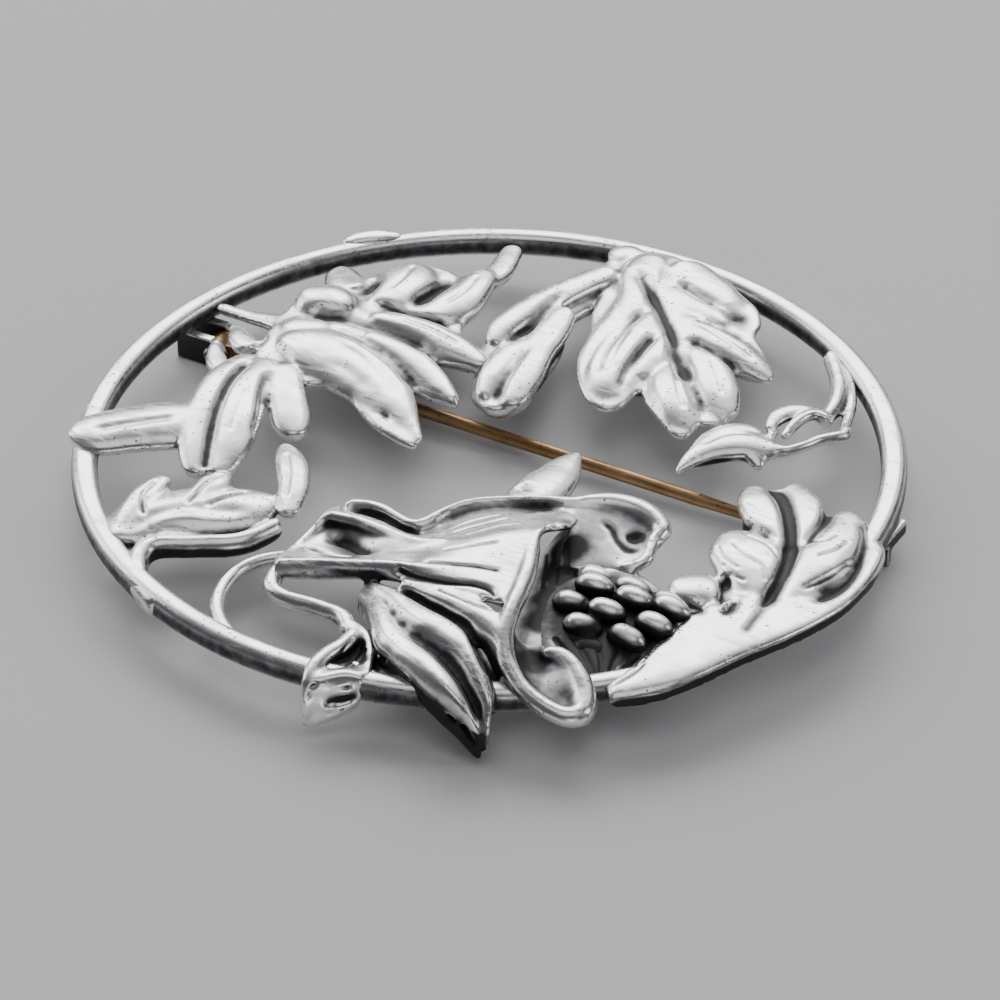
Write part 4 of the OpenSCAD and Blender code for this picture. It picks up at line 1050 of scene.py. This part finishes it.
flower_lines = [
    (0.6, 0.3, [[-19.2, 7], [-17.4, 7.1], [-15.6, 7.6], [-13.6, 7.6], [-11, 7.6], [-8.6, 7]]),
    (0.5, 0.2, [[-16.4, 5.6], [-14.4, 5.6], [-12, 5], [-9.4, 4], [-7.4, 2.8]]),
    (0.4, 0.32, [[-15.6, 10.4], [-13.4, 10.4], [-11, 10.6], [-9.2, 10.8]]),
    (0.5, 0.35, [[-12.8, 11.4], [-12.5, 14], [-12.4, 16.6]]),
    (0.5, 0.35, [[-17, 11], [-16.7, 12.6], [-17.2, 14]]),
    (0.34, 0.26, [[-18.6, -0.6], [-18.2, -3.6], [-17.2, -7], [-15.6, -10.6], [-14.6, -12.6]]),
    (0.4, 0.26, [[-16.6, -1], [-15.6, -3.4], [-14.2, -6], [-13.4, -8]]),
    (0.18, 0.08, [[-16.6, -4], [-15.9, -6.4], [-15, -8.6]]),
    (0.3, 0.17, [[-8.6, -0.8], [-7.6, -0.9], [-6.9, -1.4]]),
    (0.5, 0.1, [[-14.6, 4.4], [-12, 3.8], [-9.6, 2.4], [-7.6, 0.8]]),
    (0.5, 0.08, [[-14, 1.8], [-11.6, 1.4], [-9.4, 0.2]]),
    (0.2, 0.1, [[-12.4, 9], [-9.8, 9], [-7.2, 8.6]]),
    (0.2, 0.1, [[-15, 12], [-15, 14], [-15.4, 16]]),
    (0.2, 0.1, [[-10.8, 12.4], [-10.4, 14.8], [-10.8, 17]]),
    (0.35, 0.14, [[-19, -8.6], [-21, -10.6], [-23.4, -12.8]]),
    (0.3, 0.21, [[-20.2, 3.4], [-19.4, 2.6], [-19.4, 0.8]]),
]
flower_bosses = [(-18.2, 8.8, 2.2, 2.2), (-17.2, 4.9, 2, 2.2), (-15, 7.4, 1.5, 2.2)]
flower_parts = [blade([-13, 7, 1.4], flower_blade)] + [petal(r, dome=0.38) for r in flower_petals]
flower_parts += [boss(*r) for r in flower_bosses]
flower_dark = [(-20.2, 14, 1.2, 1.8, 0.14), (-22.8, 5.9, 1.5, 2, 0.16)]
cast("petalled_flower", flower_parts, voxel=0.14, lines=flower_lines, dark=flower_dark, seed=6)

# %% [markdown]
# Below it lies a curled leaf whose rolled edge and stem run along the ring.

# %% Curled leaf
curled_leaf = [
    [[-15.9, -21.6, 0.9, 1.4], [-15.3, -18.8, 1.3, 2.5], [-12.9, -16.6, 1.6, 2.9], [-10.2, -14.6, 1.5, 2.5],
     [-8.4, -13, 1.3, 1.3]],
    [[-13.2, -11.8, 1.3, 0.5], [-13, -13.8, 1.7, 1.1], [-13.2, -16, 1.5, 0.7]],
    [[-16.4, -14.2, 1.2, 0.6], [-16.4, -17, 1.5, 1], [-16, -20.4, 1.1, 0.8]],
    [[-11.8, -7, 1.1, 0.5], [-10, -9, 1.8, 1.1], [-8.2, -11.5, 1.9, 1.1], [-6.9, -14.4, 1.5, 0.7]],
]
curled_stems = [
    [[-7.2, -14.8, 1.3, 0.7], [-8.4, -17.6, 1.3, 0.8], [-11, -19.3, 1.2, 0.8], [-13.2, -20.6, 1.1, 0.8],
     [-13.4, -22.3, 1, 0.8], [-12, -24.2, 0.9, 0.8], [-9.4, -25.9, 0.8, 0.8]],
    [[-4.6, -17, 0.9, 0.5], [-6.4, -18.4, 0.8, 0.5], [-7.2, -20.6, 0.7, 0.5], [-6.6, -23.4, 0.7, 0.5],
     [-4.8, -25.6, 0.7, 0.5], [-2, -27, 0.7, 0.5]],
]
curled_lines = [
    (0.6, 0.16, [[-15.2, -21], [-14.6, -18.9], [-13, -17.2], [-11, -16.3], [-9, -15.1]]),
    (0.5, 0.12, [[-14.4, -20], [-12.8, -18.9], [-10.8, -18.2], [-9.2, -17.2], [-8.7, -15.8]]),
    (0.2, 0.18, [[-13.2, -16.8], [-13.3, -14.6], [-13.1, -12.6]]),
    (0.2, 0.18, [[-12, -16.4], [-11.4, -14.8], [-10.6, -13.2]]),
    (0.2, 0.18, [[-15.1, -19], [-16.3, -17.2], [-16.6, -15.2]]),
    (0.2, 0.14, [[-10.6, -8.6], [-9, -10.8], [-7.8, -13.2]]),
]
# Painted shade: the low walls of the leaf and its stem along the ring are darkened
curled_painted_shade = dark_line(0.9, 0.5, [[-13, -21.4, 0.4], [-11, -20.1], [-9, -18.9], [-7.4, -16.8],
                                   [-6.8, -15]], 0.5)
cast("curled_leaf", [petal(r) for r in curled_leaf] + [strand(r) for r in curled_stems],
     lines=curled_lines, dark=curled_painted_shade, seed=7)

# %% [markdown]
# The large leaf hangs from the top of the ring. Its midrib is a deep channel, with lobes on both sides.

# %% Large leaf
# Blade of the leaf's main part: x, y, top height
large_blade = [
    [-2.8, 26, 1.2], [-2.6, 21.4, 1.1], [-2, 17.6, 1], [-0.6, 14.8, 1.2], [-0.1, 12.2, 1.2],
    [0.9, 10.2, 1.2], [2.2, 8.5, 1.2], [3.6, 7.4, 1.1], [4.9, 7.3, 1.1], [5.6, 8.2, 1.1], [5.8, 10.2, 1.1],
    [6.9, 9.2, 1.1], [8.8, 7.8, 1.1], [10.3, 7, 1], [11.1, 7.4, 1], [11.1, 8.8, 1.1], [12, 9.4, 1],
    [12.6, 10.6, 1], [11.7, 12.8, 1.1], [10.6, 14.6, 1.1], [10.4, 15.6, 1.1], [12.4, 15.8, 1],
    [12.7, 16.8, 1], [11, 18.8, 1.1], [9.4, 20.4, 1.1], [9, 22, 1.1], [7.6, 23.8, 1.1], [5, 25.2, 1],
    [1.6, 26.4, 1.2],
]
large_leaf = [
    [[-2.2, 25.6, 1.1, 1.2], [-3.9, 20.6, 1.1, 2.1], [-4.9, 16.4, 1.1, 2.1], [-4.4, 12.2, 1, 2.8],
     [-3.4, 8.6, 1, 2.5], [-2.5, 5.4, 0.8, 1.9], [-2.3, 4, 0.6, 1]],
    [[-3, 22.6, 1.6, 1], [-4.4, 19, 1.7, 1.2], [-5.4, 15.6, 1.7, 1.3], [-6, 12.6, 1.5, 1.2],
     [-5.8, 10.6, 1.1, 0.7]],
    [[-3.4, 16.6, 1.6, 0.9], [-3, 13.6, 1.6, 1.3], [-2.6, 10.8, 1.6, 1.3], [-2, 8, 1.5, 1.4],
     [-1.4, 5.6, 1.2, 1], [-1.4, 4.6, 0.9, 0.6]],
    [[-4.3, 12.4, 1.3, 0.9], [-4, 9.6, 1.4, 1.2], [-3.8, 7, 1.3, 1.1], [-3.2, 4.8, 0.9, 0.6]],
    [[-1.4, 25.6, 1.6, 1.6], [-0.8, 22.8, 1.8, 1.6], [0.2, 20.2, 1.8, 1.3], [0.6, 17.2, 1.75, 1.2],
     [0.8, 14.2, 1.6, 1.2], [1.5, 11.2, 1.4, 1], [2.2, 9.3, 1, 0.6]],
    [[2.4, 18.6, 1.75, 1.2], [2.4, 15.4, 1.95, 1.6], [2.9, 12, 1.95, 1.7], [3.7, 9.6, 1.7, 1.5],
     [4.2, 8, 1.2, 0.8]],
    [[4.4, 16.4, 1.8, 1], [4.8, 13.8, 1.85, 1.2], [5.2, 11.6, 1.5, 0.8]],
    [[6.2, 13.8, 1.6, 0.9], [7.5, 11.6, 1.85, 1.4], [9.2, 9.6, 1.7, 1.4], [10.9, 8, 1.1, 0.8]],
    [[6.9, 16.8, 1.7, 1.1], [9, 14.4, 1.9, 1.5], [10.9, 12.3, 1.75, 1.4], [12.4, 10.4, 1.2, 0.8]],
    [[3.8, 19.6, 1.6, 1.1], [6.8, 18.2, 1.9, 1.4], [9.7, 17.3, 1.75, 1.2], [12.3, 16.4, 1.15, 0.8]],
    [[2, 22.4, 1.6, 1], [4.6, 21, 1.8, 1.2], [7.2, 20.3, 1.6, 1]],
    [[0.6, 25.6, 1.7, 1.5], [4.2, 23.4, 1.8, 1.9], [6.8, 21.9, 1.4, 1.4], [8.4, 21, 1.1, 0.9]],
]
right_valley = [[5.6, 17], [7.6, 16.5], [9.4, 16], [10.6, 15.6]]
middle_valley = [[1.6, 18.8], [1.6, 15.6], [1.9, 12.6], [2.8, 10]]
midrib_valley = [[3.8, 16.4], [3.9, 14], [4.2, 11.6], [4.8, 9]]
left_valley = [[-4.4, 18.2], [-4.6, 15], [-4.8, 12.4], [-5, 10.4]]
large_lines = [
    (0.55, 0.34, [[-1.6, 23.2], [0.8, 21], [3, 18.8], [4.8, 16.8], [6.1, 15], [7.4, 13.4], [8.4, 12.2]]),
    (0.5, 0.14, [[7, 13.9], [8.4, 12.3], [9.8, 10.8], [11.2, 9.2]]),
    (0.4, 0.2, [[5.2, 19.4], [7.6, 19.3], [9.6, 19]]),
    (0.4, 0.2, right_valley),
    (0.4, 0.2, middle_valley),
    (0.4, 0.22, midrib_valley),
    (0.4, 0.2, [[1.6, 23.2], [3.8, 22.3], [6, 21.4]]),
    (0.2, 0.09, [[2, 16], [2.4, 13.2], [3.2, 10.4]]),
    (0.2, 0.09, [[7.2, 12.8], [8.4, 10.9], [9.8, 9.2]]),
    (0.2, 0.09, [[8.4, 15.6], [9.8, 13.8], [11.4, 11.8]]),
    (0.2, 0.09, [[5.6, 18.8], [8.4, 17.8], [11, 17]]),
    (0.5, 0.25, left_valley),
    (0.45, 0.22, [[-3.4, 11.4], [-3.1, 9], [-2.8, 6.6], [-2.4, 4.4]]),
    (0.9, 0.3, [[6, 22.4], [7.6, 21.4], [8.6, 20.2]]),
]
# Painted shade in the valleys and on the upper right slope, with patina and painted shade along the midrib
# channel
large_dark = dark_line(0.7, 0.2, [[0, 21.8], [2.4, 19.4], [3.8, 17.8], [5.2, 16.1]], 1.7)
large_dark += dark_line(1.1, 0.2, [[6, 22.9], [8.3, 21.5], [9.8, 20.2]], 1.8)
for rows in (right_valley, middle_valley, midrib_valley):
    large_dark += dark_line(0.5, 0.09, rows, 1.6)
large_dark += dark_line(0.5, 0.09, left_valley, 1.5)
large_parts = [blade([3.6, 17, 1.45], large_blade)] + [petal(r, dome=0.34) for r in large_leaf]
large_parts += [boss(-3.4, 25.2, 1.4, 1.5), boss(-0.4, 25.2, 1.4, 1.8)]
cast("large_leaf", large_parts, voxel=0.14, lines=large_lines, dark=large_dark, seed=8)

# %% [markdown]
# A closed bud hangs on two thin stems at the right, with its sepal folded back.

# %% Bud
bud_rows = [
    [[12.2, 3.6, 0.7, 0.2], [12.6, 5.2, 1.2, 0.8], [13.4, 6.7, 1.6, 1.3], [14.8, 7.8, 1.8, 1.5],
     [16.4, 8.4, 1.5, 1.1], [17.4, 8.8, 1.3, 0.6]],
    [[12.5, 5.2, 1, 0.6], [12.9, 7.6, 1.4, 1.1], [14, 9.1, 1.5, 1.2], [15.6, 9.5, 1.3, 0.8]],
    [[15.2, 8, 1.6, 0.9], [16.2, 7.3, 1.4, 0.8], [17, 6.5, 0.9, 0.25]],
    [[15.4, 10.6, 1.2, 0.3], [15.3, 12.4, 1.3, 0.7], [16.1, 13.6, 1.3, 0.7], [17.4, 14, 1.2, 0.5],
     [18.5, 13.7, 1.1, 0.25]],
]
bud_stems = [
    [[14.3, 21.9, 0.7, 0.6], [15.3, 20.7, 0.8, 0.6], [16.8, 18.4, 1, 0.6], [17.7, 16, 1.1, 0.6],
     [17.9, 14.4, 1.1, 0.55], [18.3, 13.4, 1.2, 0.5]],
    [[16, 21.2, 0.5, 0.4], [17.9, 18.1, 0.6, 0.4], [18.9, 15.8, 0.7, 0.4], [19.5, 13.7, 0.9, 0.4]],
    [[16.4, 8.4, 1.4, 0.6], [17.6, 9, 1.3, 0.42], [18.3, 10, 1.3, 0.4], [18.9, 11.4, 1.25, 0.42],
     [19.9, 12.8, 1.15, 0.5], [19.5, 13.9, 1, 0.45]],
    [[16.8, 10.2, 1.3, 0.35], [16.7, 11.7, 1.45, 0.4], [16.9, 13, 1.45, 0.4], [17.5, 13.8, 1.4, 0.4],
     [18.4, 13.7, 1.3, 0.4]],
    [[16.4, 9, 1, 0.3], [15.9, 10, 1.1, 0.35], [15.7, 11.2, 1.1, 0.35]],
]
bud_lines = [(0.3, 0.15, [[12.6, 6.2], [13.6, 8], [15.2, 8.9]])]
# Painted shade under the bud and beside its stems
bud_painted_shade = [(14.2, 5.6, 0.9, 1.6, 0.5), (16.4, 11.6, 0.9, 1, 0.4), (18.6, 16.4, 1, 1.6, 0.2)]
cast("bud", [petal(r) for r in bud_rows] + [strand(r) for r in bud_stems], voxel=0.12,
     lines=bud_lines, dark=bud_painted_shade, seed=9)

# %% [markdown]
# A pointed leaf folds down over the ring at the front, with a stem that loops back under the flower.

# %% Front leaf
front_flutes = [
    [[3.1, -22.7, 0.9], [3.4, -22.4, 0.8], [4, -22.6, 0.8], [4.4, -23, 0.9]],
    [[3.2, -24.6, 1], [3.6, -24, 0.3], [4.2, -23.8, 0.2], [5.1, -24, 0.8]],
    [[3.1, -26.6, 1.1], [3.7, -25.7, 0.5], [4.5, -25.2, 0.4], [5.6, -25.2, 0.8]],
    [[3.7, -28.8, 1], [4.3, -28, 1.2], [5.3, -27, 1.25], [6.4, -26.8, 1.1]],
    [[3.6, -29.3, -0.3], [4.6, -28.6, 0], [5.6, -27.6, 0.2], [6.6, -27, 0.3]],
    [[3.6, -29.7, -1.8], [4.7, -29, -1.6], [5.6, -28, -1.2], [6.5, -27.2, -0.7]],
]
front_parts = [
    strand([[2.6, -21.8, 1.05, 0.45], [3.3, -23, 1.2, 0.55], [3.3, -24.4, 1.3, 0.6], [3.05, -25.8, 1.4, 0.6],
            [3.1, -27.4, 1.4, 0.5], [3.45, -28.7, 1, 0.4], [3.6, -29.3, 0, 0.35], [3.65, -29.6, -1.2, 0.3]]),
    strand([[2.8, -21.8, 0.9, 0.3], [4, -22.5, 1, 0.3], [5.1, -23.8, 0.95, 0.3], [5.8, -25.2, 0.9, 0.3],
            [6.4, -26.4, 1, 0.3]]),
    fluted(front_flutes, thick=0.9),
    petal([[3.8, -23.8, 0.2, 0.8], [6.4, -24.6, 0.3, 1], [9.8, -25.4, 0.3, 0.8]]),
    strand([[4.1, -28.4, 0.6, 0.45], [5.2, -27.4, 0.8, 0.5], [6.2, -26.8, 0.6, 0.4]]),
    strand([[4, -28.8, -0.3, 0.45], [5.2, -27.8, -0.2, 0.5], [6.1, -27, 0, 0.4]]),
    strand([[3.9, -29.1, -1.2, 0.35], [5, -28.2, -0.9, 0.4], [6, -27.3, -0.5, 0.35]]),
]
front_stem = [[-4.8, -18.6, 1, 0.6], [-4.4, -20.4, 0.9, 0.6], [-3, -21.2, 0.9, 0.6], [-0.4, -21, 0.9, 0.6],
              [1.6, -21.3, 1, 0.6], [2.8, -22.6, 1.1, 0.6]]
front_lines = [
    (0.1, 0.1, [[3.7, -23.4], [3.8, -25], [3.8, -26.8]]),
    (0.1, 0.1, [[4.2, -23.4], [4.4, -25], [4.5, -26.4]]),
    (0.1, 0.08, [[4.8, -23.7], [4.9, -25], [5, -26.2]]),
    (0.13, 0.2, [[3.7, -29.4], [3.9, -28.9], [4.2, -28.5]]),
    (0.14, 0.22, [[4.7, -28.8], [5.3, -28.1], [6, -27.4]]),
    (0.12, 0.2, [[5.2, -28.5], [5.8, -27.8], [6.4, -27.3]]),
]
front_dark = [(4.2, -24.8, 0.8, 1.3, 0.26), (7.4, -24.8, 0.6, 1.6, 0.4), (4.6, -23.2, 1.3, 0.6, 0.5),
              (5.5, -24.7, 1.2, 0.6, 0.5), (5, -28.8, 3, 1.6, -0.34)]
cast("front_leaf", front_parts + [strand(front_stem)], voxel=0.12, lines=front_lines,
     dark=front_dark, seed=10)

# %% [markdown]
# Behind the ring, two soldered jaws hold a rivet for the pin's eye, and a plain trough catches its tip.
# They stand for CAD solids that slide on the pin, so they repeat the model's own sizes.
# Each is an outline carried along a straight line, and the skin rounds its edges as filing would.

# %% Hinge jaws and catch
PIN_Y = 4.6
PIN_Z = 1.0 - RING_Z
PIVOT_X = -24.206
JAW_Y = 0.68
JAW_T = 0.7
WIRE_X = 26.605
WIRE_LOW, SUNK = 1.9, 0.3
BACK = WIRE_LOW + SUNK - RING_Z
FLOOR = -RING_Z
RIVET_R = 0.35
RIVET_END = 0.12
HEAD_R = 0.55
HEAD_IN, HEAD_OUT = 0.2, 0.15


def prism(outline, axis, low, high):
    """A closed solid: a flat outline of the other two axes, kept the same from low to high."""
    flat = np.asarray(outline, float)
    ends = [np.insert(flat, axis, value, axis=1) for value in (low, high)]
    return tube(np.stack(ends))


def jaw_outline():
    """Half a circle about the rivet, and straight sides back to the ring: x and z."""
    turn = np.linspace(-np.pi / 2, np.pi / 2, 24)
    nose = np.column_stack([PIVOT_X + np.cos(turn), PIN_Z + np.sin(turn)])
    back = PIVOT_X - (WIRE_X + PIVOT_X + WIRE_W / 4)
    return np.concatenate([nose, [[PIVOT_X, BACK], [back, BACK], [back, FLOOR]]])


def disc(radius, sides=32):
    """A circle about the rivet: x and z."""
    turn = np.linspace(0, 2 * np.pi, sides, endpoint=False)
    return np.column_stack([PIVOT_X + radius * np.cos(turn), PIN_Z + radius * np.sin(turn)])


rivet_low, rivet_high = PIN_Y - JAW_Y - JAW_T - RIVET_END, PIN_Y + JAW_Y + JAW_T + RIVET_END
jaw_parts = [prism(disc(RIVET_R), 1, rivet_low, rivet_high)]
for side in (-1, 1):
    inner, outer = PIN_Y + side * JAW_Y, PIN_Y + side * (JAW_Y + JAW_T)
    jaw_parts.append(prism(jaw_outline(), 1, min(inner, outer), max(inner, outer)))
    jaw_parts.append(prism(disc(HEAD_R), 1, outer - HEAD_IN, outer + HEAD_OUT))
cast("hinge_jaws", jaw_parts, voxel=0.07, rounds=3, seed=11, uneven=0.01)

# %% Catch
CATCH_X = 26.155
CATCH_HALF = 1.1
MOUTH = 0.55
WALL = 0.55
ROOF = PIN_Z + MOUTH
FOOT_START, FOOT_END, FOOT_T = 0.8, 3.3, 1.1
# Outlines of the trough and of its foot: y and z
trough = [[PIN_Y - MOUTH - WALL, FLOOR], [PIN_Y - MOUTH, FLOOR], [PIN_Y - MOUTH, ROOF],
          [PIN_Y + MOUTH, ROOF], [PIN_Y + MOUTH, FLOOR], [PIN_Y + MOUTH + WALL, FLOOR],
          [PIN_Y + MOUTH + WALL, BACK], [PIN_Y - MOUTH - WALL, BACK]]
foot = [[PIN_Y + FOOT_START, BACK - FOOT_T], [PIN_Y + FOOT_END, BACK - FOOT_T],
        [PIN_Y + FOOT_END, BACK], [PIN_Y + FOOT_START, BACK]]
catch_parts = [prism(flat, 0, CATCH_X - CATCH_HALF, CATCH_X + CATCH_HALF) for flat in (trough, foot)]
cast("pin_catch", catch_parts, voxel=0.08, rounds=3, seed=12, uneven=0.01)

# %% [markdown]
# Light for silver is light to be mirrored: the metal shows what stands around it. A bright soft light
# behind the brooch, within a wider and dimmer one, draws the bright fronts. Others stand above it,
# at its left and right and low in front, and the rest stays dim.

# %% Floor
FLOOR_HALF_M = 3
FLOOR_TONE = (0.74, 0.74, 0.75, 1)
FLOOR_ROUGH = 0.75

floor_mesh = bpy.data.meshes.new("floor")
corners = [(x * FLOOR_HALF_M, y * FLOOR_HALF_M, 0) for x, y in ((-1, -1), (1, -1), (1, 1), (-1, 1))]
floor_mesh.from_pydata(corners, [], [(0, 1, 2, 3)])
floor = put("floor", floor_mesh)
floor_finish = bpy.data.materials.new("pale_floor")
floor_finish.use_nodes = True
floor_shader = floor_finish.node_tree.nodes["Principled BSDF"]
floor_shader.inputs["Base Color"].default_value = FLOOR_TONE
floor_shader.inputs["Roughness"].default_value = FLOOR_ROUGH
floor_mesh.materials.append(floor_finish)
print("floor:", floor_finish.name)

# %% Light
ROOM_TONE = (0.3, 0.31, 0.33, 1)
ROOM_STRENGTH = 0.25
# Soft lights: name, x, y and z in metres, width, height, watts
LIGHTS = [
    ("back_softbox", -0.5, 0.76, 0.66, 0.85, 0.5, 5.5),
    ("back_haze", -0.5, 0.95, 0.85, 2, 1.3, 8),
    ("top_softbox", 0.15, -0.2, 1.2, 0.9, 0.9, 2.4),
    ("left_softbox", -1.0, 0.1, 0.45, 0.5, 0.7, 3),
    ("right_softbox", 0.9, 0.5, 0.6, 0.4, 0.6, 2),
    ("front_softbox", 0.8, -0.95, 0.16, 0.5, 0.3, 1.2),
]

world = bpy.data.worlds.new("studio")
world.use_nodes = True
background = world.node_tree.nodes["Background"]
background.inputs["Color"].default_value = ROOM_TONE
background.inputs["Strength"].default_value = ROOM_STRENGTH
bpy.context.scene.world = world
for light_name, x, y, z, width, height, watts in LIGHTS:
    light_data = bpy.data.lights.new(light_name, "AREA")
    light_data.shape = "RECTANGLE"
    light_data.size, light_data.size_y = width, height
    light_data.energy = watts
    light = put(light_name, light_data)
    light.location = (x, y, z)
    # Turned so that it faces the origin
    light.rotation_euler = (math.atan2(math.hypot(x, y), z), 0, math.atan2(x, -y))
print("lights:", len(LIGHTS))
